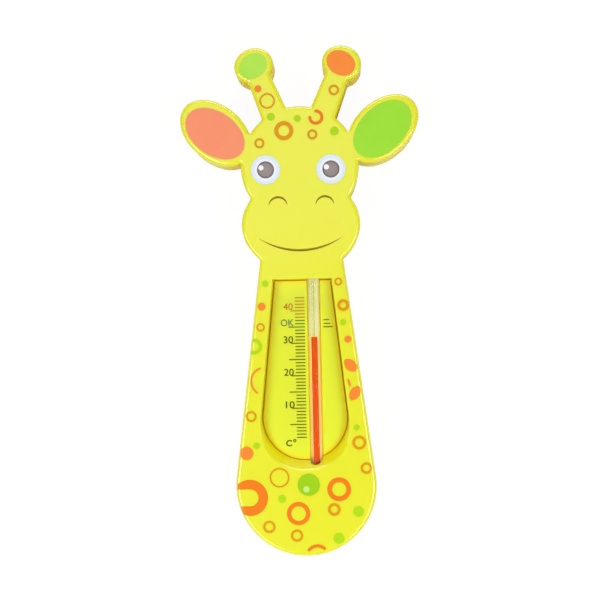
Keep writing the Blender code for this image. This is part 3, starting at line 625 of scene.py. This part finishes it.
def buildFrontShell(s, w):
    skin = Skin()
    top, parting = s["thickness"], s["parting"]
    skirt = movedIn(outline, s["wall"] - s["lip"] - s["gap"])
    inner = movedIn(outline, s["wall"])
    stepLevel = parting + s["lipHeight"] + s["gap"]
    skin.band(outline, parting, outline, top - s["frontEdge"])
    face = roundedEdge(skin, outline, s["frontEdge"], top, 1, s["edgeSteps"])
    skin.sheet(top, face, [rim] + [grooveLoop(rows) for rows in grooves])
    # the groove beds take the second finish, painted shade
    for rows in grooves:
        for first, second in zip(rows, rows[1:]):
            skin.strip(first, second, kind=1)
    floorLevel = top - w["depth"]
    rows = []
    for i in range(w["steps"] + 1):
        share = i / w["steps"]
        height = 0.5 * math.sin(math.pi / 2.0 * share) + 0.5 * eased(share)
        rows.append((windowLoop(share), floorLevel + w["depth"] * height))
    skin.rise(rows)
    wellFoot, wellTop = movedIn(floorLoop, -w["wall"]), movedIn(rim, -w["wall"])
    endLevel = floorLevel - w["overhang"]
    under = top - s["panel"]
    skin.rise([(floorLoop, floorLevel), (floorLoop, endLevel), (wellFoot, endLevel),
               (wellTop, under)])
    pins = [circleLoop(place, pinSizes["radius"]) for place in pinSizes["places"]]
    skin.sheet(under, inner, [wellTop] + pins)
    for pin in pins:
        skin.boss(pin, under, pinSizes["end"])
    skin.rise([(outline, parting), (skirt, parting), (skirt, stepLevel), (inner, stepLevel),
               (inner, under)])
    shell = skin.piece("shell_front")
    for look in (shellPlastic, grooveBedShade):
        shell.data.materials.append(look)
    x, level, radius = w["tubeWay"]
    low = endLevel - w["tubeWayDrop"]
    section = arcPoints((x, level), radius, 0.0, 180.0) + [(x - radius, low), (x + radius, low)]
    cutWith(shell, [barAlong("tube way", section, *w["tubeWayEnds"])])
    finished(shell, [], ["front_shell"])
    return shell


frontShell = buildFrontShell(shellSizes, windowSizes)
print("front shell:", len(frontShell.data.polygons), "faces")

backSizes = {
    "slotWidth": 2.0, "slotLength": 12.0, "slotPitch": 4.8, "slotX": 4.3, "slotMiddle": 26.3,
    "slotStep": 0.15,
    "ribHalf": 10.0, "ribThickness": 1.6, "ribTop": 6.1, "ribs": (40.21, 73.26, 103.39),
}


def buildBackShell(s, b):
    skin = Skin()
    inner = movedIn(outline, s["wall"])
    lip = movedIn(outline, s["wall"] - s["lip"])
    wallLevel, lipLevel = s["parting"] - s["gap"], s["parting"] + s["lipHeight"]
    slots = []
    half = b["slotWidth"] / 2.0
    ends = b["slotLength"] / 2.0 - half
    for i in (-1, 0, 1):
        x = b["slotX"] + i * b["slotPitch"]
        slots.append(arcPoints((x, b["slotMiddle"] + ends), half, 0.0, 180.0, b["slotStep"])
                     + arcPoints((x, b["slotMiddle"] - ends), half, 180.0, 360.0, b["slotStep"]))
    back = roundedEdge(skin, outline, s["backEdge"], 0.0, -1, s["edgeSteps"])
    skin.sheet(0.0, back, slots)
    skin.rise([(outline, s["backEdge"]), (outline, wallLevel), (lip, wallLevel), (lip, lipLevel),
               (inner, lipLevel), (inner, s["panel"])])
    half = b["ribThickness"] / 2.0
    ribs = [boxLoop(-b["ribHalf"], b["ribHalf"], y - half, y + half) for y in b["ribs"]]
    skin.sheet(s["panel"], inner, slots + ribs)
    for rib in ribs:
        skin.boss(rib, s["panel"], b["ribTop"])
    for slot in slots:
        skin.band(slot, 0.0, slot, s["panel"])
    skin.made("shell_back", [shellPlastic], ["back_shell"], "yellow_plastic")


buildBackShell(shellSizes, backSizes)
print("back shell ready")

plateSizes = {
    "gap": 0.3, "lap": 3.2, "thickness": 2.3, "edge": 0.15, "stripHalf": 12.5,
    "stripBottom": 19.8, "stripTop": 117.0, "grooveRadius": 2.85, "grooveDepth": 2.0,
    "grooveEnds": (16.8, 114.8), "pocketRadius": 2.9, "pocketEnds": (15.8, 31.6), "sides": 96,
    # the last three set where painted shade lies beside the seam and in the groove
    "seamShadeReach": 2.1, "seamShadeRings": 6, "tubeGrooveShade": 0.9,
}
tubeSizes = {  # spiritFoot: height and radius
    "x": 4.3, "level": 10.45, "radius": 2.15, "top": 114.5, "tip": 0.02, "bulbRadius": 2.6,
    "bulbTop": 31.3, "bulbBottom": 21.3, "shoulder": 1.6, "filler": 0.7, "bulbWall": 0.6,
    "steps": 8, "sides": 64, "sharp": 50.0, "spiritFoot": (22.42, 1.0), "columnFoot": 31.1,
    "column": (0.84, 0.35), "reading": 85.8, "bore": (0.5, 0.22), "boreEnds": (85.82, 111.5),
    "enamelHalf": 76.0, "enamelRadius": 1.75, "enamelThickness": 0.12, "enamelEnds": (31.8, 111.5),
    "enamelSteps": 24,
}


def buildPlate(p, t, w):
    floorLevel = shellSizes["thickness"] - w["depth"]
    upper = floorLevel - w["overhang"] - p["gap"]
    lower = upper - p["thickness"]
    pad = movedIn(floorLoop, p["gap"])
    strip = boxLoop(-p["stripHalf"], p["stripHalf"], p["stripBottom"], p["stripTop"])
    flange = unionOf([movedIn(floorLoop, -p["lap"]), strip])
    holes = [circleLoop(place, pinSizes["radius"] + p["gap"]) for place in pinSizes["places"]]
    skin = Skin()
    skin.sheet(lower, flange, holes)
    skin.band(flange, lower, flange, upper)
    skin.sheet(upper, flange, [pad] + holes)
    for hole in holes:
        skin.band(hole, lower, hole, upper)
    padTop = movedIn(pad, p["edge"])
    skin.rise([(pad, upper), (pad, floorLevel - p["edge"]), (padTop, floorLevel)])
    rows = [padTop]
    for i in range(1, p["seamShadeRings"] + 1):  # rings that carry the painted shade beside the seam
        distance = p["gap"] + p["edge"] + p["seamShadeReach"] * i / p["seamShadeRings"]
        nearer = {key: w[key] - distance for key in ("top", "topHalf", "radius")}
        rows.append(windowLoop(0.0, {**w, **nearer}))
    for outer, inner in zip(rows, rows[1:]):
        skin.sheet(floorLevel, outer, [inner])
    skin.sheet(floorLevel, rows[-1])
    plate = skin.piece("plate_body")
    level = floorLevel - p["grooveDepth"] + p["grooveRadius"]
    groove = circleLoop((t["x"], level), p["grooveRadius"], p["sides"])
    pocket = circleLoop((t["x"], t["level"]), p["pocketRadius"], p["sides"])
    cutWith(plate, [barAlong("stem groove", groove, *p["grooveEnds"]),
                    barAlong("bulb pocket", pocket, *p["pocketEnds"])])
    seam = plate.data.attributes.new("seam", "FLOAT", "POINT")
    border = np.array(floorLoop)
    for value, vertex in zip(seam.data, plate.data.vertices):
        x, y = vertex.co.x / mm, (vertex.co.y - footLevel) / mm
        distance = float(np.min(np.hypot(border[:, 0] - x, border[:, 1] - y))) - p["gap"]
        # painted shade: fading out from the seam on the top, a fixed share inside the groove
        if vertex.co.z > (floorLevel - p["edge"] / 2.0) * mm:
            value.value = max(0.0, 1.0 - distance / p["seamShadeReach"])
        elif vertex.co.z > lower * mm:
            value.value = p["tubeGrooveShade"]
    finished(plate, [platePlastic], ["scale_plate"])


buildPlate(plateSizes, tubeSizes, windowSizes)
print("scale plate ready")

glassLook = {
    "tint": seen(252, 252, 246), "smooth": 0.02, "ior": 1.47, "calm": 0.8,
    "smearScale": 60.0, "smearStretch": (6.0, 0.4, 6.0), "smearRoughness": 0.03,
}


def clearGlass(look):  # what the camera sees first is mostly plain refraction
    finish = Finish("drawn glass")
    smear = finish.noise(look["smearScale"], stretch=look["smearStretch"])
    rough = look["smooth"] + smear * look["smearRoughness"]
    shiny = finish.principled(Base_Color=look["tint"], Roughness=rough, Transmission_Weight=1.0,
                              IOR=look["ior"])
    plain = finish.node("ShaderNodeBsdfRefraction", {}, {
        "Color": look["tint"], "Roughness": rough, "IOR": look["ior"]})
    glass = finish.mixed(1.0 - finish.ray("Is Camera Ray") * look["calm"], plain, shiny)
    return finish.shown(finish.clearInShadow(glass, look["tint"]))


spiritLook = {
    "red": seen(201, 77, 22), "deep": seen(193, 69, 18), "shadow": seen(255, 214, 150),
    "cloudScale": 120.0, "cloudStretch": (1.0, 0.3, 1.0), "cloudRoughness": 0.06,
    "smooth": 0.4, "ior": 1.36,
}


def dyedSpirit(look):
    finish = Finish("red spirit")
    cloud = finish.noise(look["cloudScale"], stretch=look["cloudStretch"])
    dyed = finish.principled(
        Base_Color=finish.blend(cloud, look["red"], look["deep"]),
        Roughness=look["smooth"] + cloud * look["cloudRoughness"], IOR=look["ior"],
        Specular_IOR_Level=0.0)
    return finish.shown(finish.clearInShadow(dyed, look["shadow"]))


enamelLook = {  # milk up to the reading, painted shade above it, with a painted dark line of shade along the empty bore
    "milk": (seen(234, 229, 168), seen(224, 218, 150)),
    "shaded": (seen(203, 202, 146), seen(190, 189, 129)),
    "bore": seen(160, 160, 70), "boreShadeHalf": 0.34, "boreShadeShare": 0.8, "edge": 0.5,
    "cloudScale": 220.0, "cloudStretch": (3.0, 0.25, 3.0), "cloudRoughness": 0.1, "smooth": 0.4,
}


def enamelStripe(look, t):
    finish = Finish("opal enamel")
    cloud = finish.noise(look["cloudScale"], detail=3.0, stretch=look["cloudStretch"])
    reading = atPlace(0.0, t["reading"], 0.0)[1]
    above = ((finish.axis(1) - reading) / (look["edge"] * mm)).clamped()
    aside = finish.axis(0) - t["x"] * mm
    # painted shade: a dark line along the empty bore, above the reading
    bore = (1.0 - aside.maths("ABSOLUTE", aside) / (look["boreShadeHalf"] * mm)).clamped() * above
    milk, shaded = (finish.blend(cloud, *look[part]) for part in ("milk", "shaded"))
    tone = finish.blend(above, milk, shaded)
    return finish.shown(finish.principled(
        Base_Color=finish.blend(bore * look["boreShadeShare"], tone, look["bore"]),
        Roughness=look["smooth"] + cloud * look["cloudRoughness"]))


def turned(skin, stations, t):  # a station is a height and the two half widths there
    rings = []
    for height, halfWide, halfDeep in stations:
        angles = [2.0 * math.pi * i / t["sides"] for i in range(t["sides"])]
        rings.append([(t["x"] + halfWide * math.cos(a), height, t["level"] + halfDeep * math.sin(a))
                      for a in angles])
    skin.loft(rings)


def buildTube(t):
    skin = Skin()
    low, high, base = t["bulbBottom"], t["bulbTop"], t["filler"] + t["bulbWall"]
    quarter = anglesBetween(0.0, 90.0, t["steps"])
    outside = []
    for angle in quarter:  # rounded lower end of the bulb
        outside.append((low + t["shoulder"] * (1.0 - math.cos(angle)),
                        base + (t["bulbRadius"] - base) * math.sin(angle)))
    for i in range(t["steps"] + 1):  # shoulder up to the stem
        share = i / t["steps"]
        outside.append((high - t["shoulder"] * (1.0 - share),
                        t["bulbRadius"] + (t["radius"] - t["bulbRadius"]) * eased(share)))
    for angle in quarter:  # domed upper end
        outside.append((t["top"] - t["radius"] * (1.0 - math.sin(angle)),
                        max(t["tip"], t["radius"] * math.cos(angle))))
    turned(skin, [(height, radius, radius) for height, radius in outside], t)
    solid = len(skin.faces)
    turned(skin, [(height, *t["bore"]) for height in t["boreEnds"]], t)
    glass = skin.piece("tube_glass")
    for polygon in glass.data.polygons[solid:]:  # the empty bore: its faces look inwards
        polygon.flip()
    finished(glass, [clearGlass(glassLook)], ["glass_tube"], t["sharp"])
    glass.modifiers.clear()

    skin = Skin()
    inside = t["bulbRadius"] - t["bulbWall"]
    footHeight, footRadius = t["spiritFoot"]
    turned(skin, [(footHeight, footRadius, footRadius), (low + t["shoulder"], inside, inside),
                  (high - t["shoulder"], inside, inside), (t["columnFoot"], *t["column"]),
                  (t["reading"], *t["column"])], t)
    skin.made("tube_spirit", [dyedSpirit(spiritLook)], ["spirit_column"], "red_spirit")

    skin = Skin()  # the pale stripe fused into the back of the glass
    middle = (t["x"], t["level"])
    angles = anglesBetween(270.0 - t["enamelHalf"], 270.0 + t["enamelHalf"], t["enamelSteps"])
    section = [pointAt(middle, t["enamelRadius"], a) for a in angles]
    section += [pointAt(middle, t["enamelRadius"] - t["enamelThickness"], a) for a in angles[::-1]]
    skin.loft([[(x, height, level) for x, level in section] for height in t["enamelEnds"]])
    skin.made("tube_enamel", [enamelStripe(enamelLook, t)], [], "clear_glass")


buildTube(tubeSizes)
print("tube ready")

printSizes = {"thickness": 0.04, "stopAtEdge": 0.55, "edgeLines": 9,
              "bandStep": 0.2, "endStep": 0.1, "leafStep": 0.15, "sharp": 50.0}
edgeRadius = shellSizes["frontEdge"]
edgeLoops = []
for i in range(printSizes["edgeLines"]):
    share = i / (printSizes["edgeLines"] - 1)
    distance = printSizes["stopAtEdge"] + (edgeRadius - printSizes["stopAtEdge"]) * share
    edgeLoops.append(movedIn(outline, distance))
outlinePoints = np.array(outline)
outlineSteps = np.roll(outlinePoints, -1, axis=0) - outlinePoints


def fromOutline(x, y):  # how far inside the silhouette a point lies
    point = np.array((x, y))
    along = ((point - outlinePoints) * outlineSteps).sum(axis=1) / (outlineSteps ** 2).sum(axis=1)
    nearest = outlinePoints + outlineSteps * np.clip(along, 0.0, 1.0)[:, None]
    return float(np.min(np.linalg.norm(nearest - point, axis=1)))


def faceLevel(x, y):  # follows the rounded edge down
    inside = edgeRadius - fromOutline(x, y)
    if inside <= 0.0:
        return shellSizes["thickness"]
    return shellSizes["thickness"] - edgeRadius + math.sqrt(max(0.0, edgeRadius ** 2 - inside ** 2))


def printed(node, ink, shape, slot, holes=(), layer=0):
    outermost = 2 + len(holes)  # the loops: shape, window, holes, lines along the edge
    blocked = set(range(1, outermost))
    places, pieces = splitPlane([shape, rim, *holes, *edgeLoops])
    kept = [t for t, owner in pieces if {0, outermost} <= owner and not owner & blocked]
    used = sorted({i for t in kept for i in t})
    thickness = printSizes["thickness"]
    levels = {i: faceLevel(*places[i]) + layer * thickness for i in used}
    skin = Skin()
    for t in kept:
        skin.face([(*places[i], levels[i]) for i in reversed(t)])
        skin.face([(*places[i], levels[i] + thickness) for i in t])
    for a, b in borderOf(kept):
        skin.face([(*places[a], levels[a]), (*places[b], levels[b]),
                   (*places[b], levels[b] + thickness), (*places[a], levels[a] + thickness)])
    look = inks[ink] if isinstance(ink, str) else ink
    nodes = [node] if node in frame["nodes"] else []
    skin.made("print_" + node, [look], nodes, slot, printSizes["sharp"])


slotOf = {part["node"]: part["material_slot"] for part in frame["record"]["subparts"]}

fields = [  # node, ink, centre, half length, half width, tilt
    ("horn_field_right", "tangerine", (16.99, 192.77), 5.86, 4.69, -30.0),
    ("horn_field_left", "paleGreen", (-17.52, 192.62), 5.88, 4.67, 32.0),
    ("ear_field_left", "coral", (-32.95, 166.53), 12.98, 8.44, 144.0),
    ("ear_field_right", "leafGreen", (32.63, 166.59), 13.31, 8.71, 43.5),
]
for node, ink, *field in fields:
    printed(node, ink, ellipseLoop(*field), slotOf[node])

eyes = {"left": ((-13.36, 151.76), (-15.11, 152.59)), "right": ((12.26, 151.44), (10.52, 152.30))}
eyeSizes = {"white": 5.71, "pupil": 3.36, "glint": 1.02}
whiteStops = [(0.0, seen(250, 252, 255)), (0.70, seen(250, 252, 255)),
              (0.78, seen(228, 240, 253)), (1.0, seen(220, 236, 251))]
pupilStops = [(0.0, seen(168, 156, 153)), (0.74, seen(158, 146, 143)),
              (0.86, seen(128, 114, 110)), (1.0, seen(118, 104, 100))]
whiteSpeck, pupilSpeck = seen(228, 238, 252), seen(100, 90, 88)
for word, (centre, glint) in eyes.items():
    white = ringedInk("eye white " + word, centre, whiteStops, eyeSizes["white"], whiteSpeck)
    pupil = ringedInk("pupil " + word, centre, pupilStops, eyeSizes["pupil"], pupilSpeck)
    printed("eye_white_" + word, white, circleLoop(centre, eyeSizes["white"]), "white_ink")
    printed("pupil_" + word, pupil, circleLoop(centre, eyeSizes["pupil"]), "brown_ink", layer=1)
    printed("glint_" + word, "white", circleLoop(glint, eyeSizes["glint"]), "white_ink", layer=2)

spots = [  # node, ink, x, height, radius and, for a ring, the radius of its hole
    ("horn_dot_left", "apricot", -15.68, 183.62, 1.37),
    ("horn_ring_left", "amber", -12.13, 178.77, 3.05, 2.43),
    ("horn_ring_right", "amber", 14.04, 182.30, 2.07, 1.25),
    ("brow_dot_left", "lime", -10.84, 172.51, 1.49),
    ("brow_dot_middle", "lime", -0.51, 171.58, 1.33),
    ("brow_dot_right", "lime", 13.90, 166.25, 1.68),
    ("brow_ring_large", "amber", -5.86, 166.92, 3.75, 2.15),
    ("brow_ring_left", "amber", -15.54, 162.25, 1.99, 1.17),
    ("brow_ring_right", "amber", 5.27, 165.16, 1.99, 1.10),
    ("neck_dot_left_top", "lime", -14.38, 107.13, 1.25),
    ("neck_dot_left_upper", "apricot", -16.02, 98.19, 1.56),
    ("neck_ring_left_upper", "amber", -16.59, 90.08, 1.68, 1.02),
    ("neck_ring_left_cut", "lime", -19.18, 82.60, 3.01, 1.76),
    ("neck_ring_left_low", "amber", -21.02, 55.17, 2.19, 1.37),
    ("neck_dot_left_low", "lime", -19.10, 43.72, 1.29),
    ("neck_dot_left_large", "apricot", -23.09, 40.75, 2.66),
    ("neck_ring_right_top", "amber", 14.22, 107.41, 1.56, 0.86),
    ("neck_ring_right_cut", "amber", 15.94, 98.15, 2.31, 1.13),
    ("neck_dot_right_upper", "lime", 15.80, 91.51, 1.17),
    ("neck_dot_right_orange", "apricot", 17.50, 84.83, 1.37),
    ("neck_dot_right_low", "lime", 20.21, 50.32, 1.10),
    ("neck_ring_right_low", "amber", 21.10, 44.33, 2.74, 1.68),
    ("base_ring_right_top", "amber", 23.66, 34.34, 2.27, 1.33),
    ("base_ring_thin", "amber", -10.40, 31.05, 3.87, 3.25),
    ("base_dot_large", "green", 1.02, 28.15, 4.34),
    ("base_ring_right", "orange", 12.87, 26.20, 4.65, 2.78),
    ("base_dot_left", "lime", -9.56, 22.76, 1.49),
    ("base_ring_middle", "orange", -3.21, 16.89, 4.54, 2.89),
    ("base_ring_inner", "amber", 10.79, 18.36, 2.50, 1.37),
    ("base_dot_right", "lime", 20.26, 17.47, 2.07),
    ("base_ring_left_low", "amber", -14.78, 11.81, 2.43, 1.56),
    ("base_ring_low", "amber", -3.98, 8.28, 2.43, 1.53),
    ("base_dot_low", "lime", 12.43, 7.04, 2.11),
]
for node, ink, x, height, radius, *hole in spots:
    holes = [circleLoop((x, height), inner) for inner in hole]
    printed(node, ink, circleLoop((x, height), radius), slotOf[node], holes)


def bandAlong(centre, radius, width, start, end):  # part of a ring with round ends
    half, step = width / 2.0, printSizes["bandStep"]
    outer = arcPoints(centre, radius + half, start, end, step)
    inner = arcPoints(centre, radius - half, end, start, step)
    ends = []
    for degrees, first in ((end, end), (start, start + 180.0)):
        tip = pointAt(centre, radius, math.radians(degrees))
        ends.append(arcPoints(tip, half, first, first + 180.0, printSizes["endStep"])[1:-1])
    return outer + ends[0] + inner + ends[1]


def leafLoop(centre, halfLength, bulge, tilt):
    radius = (halfLength ** 2 + bulge ** 2) / (2.0 * bulge)
    half = math.degrees(math.asin(halfLength / radius))
    upper = arcPoints((0.0, bulge - radius), radius, 90.0 - half, 90.0 + half,
                      printSizes["leafStep"])[:-1]
    points = upper + [(-x, -y) for x, y in upper]
    return [turnedPoint(centre, x, y, math.radians(tilt)) for x, y in points]


partRings = [  # node, ink, centre, radius, width, start and end in degrees
    ("brow_ring_open", "orange", (6.78, 171.88), 2.37, 1.2, 182.0, 448.0),
    ("neck_bow_left", "apricot", (-15.3, 68.9), 5.4, 0.75, 110.0, 235.0),
    ("base_ring_bottom_cut", "orange", (3.88, -0.05), 4.2, 1.2, 49.0, 141.0),
]
for node, ink, *band in partRings:
    printed(node, ink, bandAlong(*band), "orange_ink")
horseshoe = {"centre": (-22.16, 23.28), "radius": 7.08, "hole": 3.35, "mouth": 12.0}
middle, hole = horseshoe["centre"], horseshoe["hole"]
mouthLoop = arcPoints(middle, hole, -90.0, 90.0, printSizes["bandStep"])
mouthLoop += [(middle[0] - horseshoe["mouth"], middle[1] + side * hole) for side in (1, -1)]
printed("base_ring_left_cut", "orange", circleLoop(middle, horseshoe["radius"]), "orange_ink",
        [mouthLoop])
leaves = [  # node, centre, half length, bulge, tilt
    ("neck_leaf_right_upper", (18.35, 74.6), 3.2, 2.1, -45.0),
    ("neck_leaf_right_thin", (17.6, 67.8), 1.8, 0.5, -75.0),
    ("neck_leaf_right_lower", (19.8, 63.7), 3.25, 2.0, 58.0),
]
for node, *leaf in leaves:
    printed(node, "apricot", leafLoop(*leaf), "orange_ink")
spark = {"centre": (0.05, 26.36), "radius": 1.25}
printed("dot_spark", "spark", circleLoop(spark["centre"], spark["radius"]), "green_ink", layer=1)
print("face print ready")

scaleSizes = {  # marks: left, right, height
    "level": shellSizes["thickness"] - windowSizes["depth"], "thickness": 0.03,
    "zero": 44.68, "pitch": 1.289, "line": 0.42, "last": 44,
    "groups": {"warm": (38, 44), "mid": (34, 37), "dark": (1, 33)},
    "right": (0.43, 0.65), "short": 3.85, "five": 2.6, "ten": 1.7,
    "marks": [(7.87, 11.64, 89.7), (8.06, 10.68, 91.0), (8.09, 10.27, 92.5)],
}
scaleInkLook = {
    "warm": (seen(200, 146, 26), seen(188, 134, 22)),
    "mid": (seen(100, 142, 34), seen(88, 130, 30)),
    "dark": (seen(116, 120, 4), seen(104, 108, 3)),
    "black": (seen(72, 76, 4), seen(62, 66, 3)),
    "red": (seen(206, 106, 30), seen(196, 96, 26)),
    "slate": (seen(92, 122, 92), seen(80, 110, 82)),
}
scaleInks = {name: inkFilm("scale " + name, *pair) for name, pair in scaleInkLook.items()}


def plateBar(skin, left, right, height, s=scaleSizes):
    low, high = s["level"], s["level"] + s["thickness"]
    loop = boxLoop(left, right, height - s["line"] / 2.0, height + s["line"] / 2.0)
    skin.band(loop, low, loop, high)
    skin.face([(*p, high) for p in loop])
    skin.face([(*p, low) for p in reversed(loop)])


def buildScale(s):
    for word, (first, last) in s["groups"].items():
        skin = Skin()
        for degree in range(first, last + 1):
            height = s["zero"] + s["pitch"] * degree
            share = (degree - 1) / (s["last"] - 1)
            right = s["right"][0] + (s["right"][1] - s["right"][0]) * share
            length = s["short"]
            if degree % 10 == 0:
                length += s["ten"]
            elif degree % 5 == 0:
                length += s["five"]
            plateBar(skin, right - length, right, height)
        skin.made("scale_lines_" + word, [scaleInks[word]], [], "brown_ink")
    skin = Skin()
    for left, right, height in s["marks"]:
        plateBar(skin, left, right, height)
    skin.made("scale_marks_right", [scaleInks["dark"]], [], "brown_ink")


buildScale(scaleSizes)

words = [  # piece, letters, ink, stroke swell, left, right, low, high
    ("number_40", "40", "red", 0.0, -7.81, -4.08, 96.6, 99.25),
    ("number_30", "30", "black", 0.02, -7.97, -4.16, 83.4, 86.2),
    ("number_20", "20", "black", 0.02, -8.00, -4.19, 70.5, 73.3),
    ("number_10", "10", "black", 0.02, -7.59, -4.10, 57.6, 60.35),
    ("letters_ok", "OK", "slate", 0.02, -8.94, -3.78, 90.2, 92.9),
    ("letter_c", "C", "black", 0.07, -7.79, -5.45, 42.5, 45.0),
]
letterSizes = {"size": 4.0, "curveSteps": 6}  # the size before a word is fitted


def lettering(name, letters, ink, swell, left, right, low, high):
    curve = bpy.data.curves.new(name, "FONT")
    curve.body, curve.size, curve.offset = letters, letterSizes["size"], swell
    curve.resolution_u = letterSizes["curveSteps"]
    source = linked(name + "_source", curve)
    mesh = evaluatedMesh(source)
    bpy.data.objects.remove(source)
    xs = [v.co.x for v in mesh.vertices]
    ys = [v.co.y for v in mesh.vertices]
    startX, startY = min(xs), min(ys)
    wide, tall = max(xs) - startX, max(ys) - startY
    for v in mesh.vertices:
        v.co = atPlace(left + (right - left) * (v.co.x - startX) / wide,
                       low + (high - low) * (v.co.y - startY) / tall,
                       scaleSizes["level"] + scaleSizes["thickness"])
    mesh.materials.clear()
    finished(linked(name, mesh), [scaleInks[ink]], [])


degreeSizes = {"centre": (-4.35, 44.75), "outer": 0.62, "inner": 0.3}


def degreeRing(d, s):
    skin = Skin()
    low, high = s["level"], s["level"] + s["thickness"]
    outer, inner = circleLoop(d["centre"], d["outer"]), circleLoop(d["centre"], d["inner"])
    skin.sheet(high, outer, [inner])
    skin.sheet(low, outer, [inner])
    skin.band(outer, low, outer, high)
    skin.band(inner, low, inner, high)
    skin.made("degree_ring", [scaleInks["black"]], [], "brown_ink")


for entry in words:
    lettering(*entry)
degreeRing(degreeSizes, scaleSizes)
print("scale print ready")

stageLook = {  # size and drop in metres
    "floor": seen(226, 222, 214), "white": (1.0, 1.0, 1.0, 1.0), "world": 0.12, "glow": 0.9,
    "shine": 1.05, "size": 3.0, "drop": 0.0002,
}


def buildStage(s):
    mesh = bpy.data.meshes.new("floor")
    corners = boxLoop(-s["size"], s["size"], -s["size"], s["size"])
    mesh.from_pydata([(x, y, 0.0) for x, y in corners], [], [(0, 1, 2, 3)])
    floor = linked("floor", mesh)
    floor.location.z = -s["drop"]
    finish = Finish("white table")
    matte = finish.node("ShaderNodeBsdfDiffuse", {}, {"Color": s["floor"]})
    glow = finish.node("ShaderNodeEmission", {}, {"Color": s["white"], "Strength": s["shine"]})
    direct = (finish.ray("Is Camera Ray") + finish.ray("Is Transmission Ray")).clamped()
    mesh.materials.append(finish.shown(finish.mixed(direct * s["glow"], matte, glow)))
    world = bpy.data.worlds.new("studio")
    world.use_nodes = True
    background = world.node_tree.nodes["Background"]
    background.inputs["Color"].default_value = s["white"]
    background.inputs["Strength"].default_value = s["world"]
    bpy.context.scene.world = world


buildStage(stageLook)

lamps = [  # name, place, aim, width and length in metres, watts
    ("high panel", (-0.05, 0.21, 0.76), (0.0, 0.05, 0.0), 0.30, 0.36, 0.28),
    ("left strip", (-0.38, -0.30, 0.60), (0.0, -0.07, 0.0), 0.66, 0.22, 3.25),
    ("right strip", (0.40, -0.30, 0.60), (0.0, -0.07, 0.0), 0.66, 0.22, 3.15),
    ("low fill", (0.0, 1.10, 0.32), (0.0, -0.05, 0.0), 1.20, 0.50, 6.2),
]
for name, place, aim, width, length, watts in lamps:
    lamp = bpy.data.lights.new(name, "AREA")
    lamp.shape, lamp.size, lamp.size_y, lamp.energy = "RECTANGLE", width, length, watts
    holder = linked(name, lamp)
    holder.location = place
    holder.rotation_euler = (Vector(aim) - Vector(place)).to_track_quat("-Z", "Y").to_euler()

# The view as fitted to the photo: turns in radians, focal length and frame in pixels.
view = {"place": (13.328, 100.613, 378.062), "roll": 0.0210144, "pitch": 0.00114195,
        "yaw": -0.0391648, "focal": 928.2124, "frame": 600.0, "sensor": 36.0}
cameraData = bpy.data.cameras.new("camera")
cameraData.sensor_width = view["sensor"]
cameraData.lens = view["focal"] / view["frame"] * view["sensor"]
camera = linked("camera", cameraData)
toCamera = (Matrix.Rotation(view["pitch"], 3, "X") @ Matrix.Rotation(view["yaw"], 3, "Y")
            @ Matrix.Rotation(view["roll"], 3, "Z"))
camera.matrix_world = Matrix.Translation(atPlace(*view["place"])) @ toCamera.transposed().to_4x4()
bpy.context.scene.camera = camera
bpy.context.scene.view_settings.view_transform = "Standard"
print("stage, lamps and camera ready")
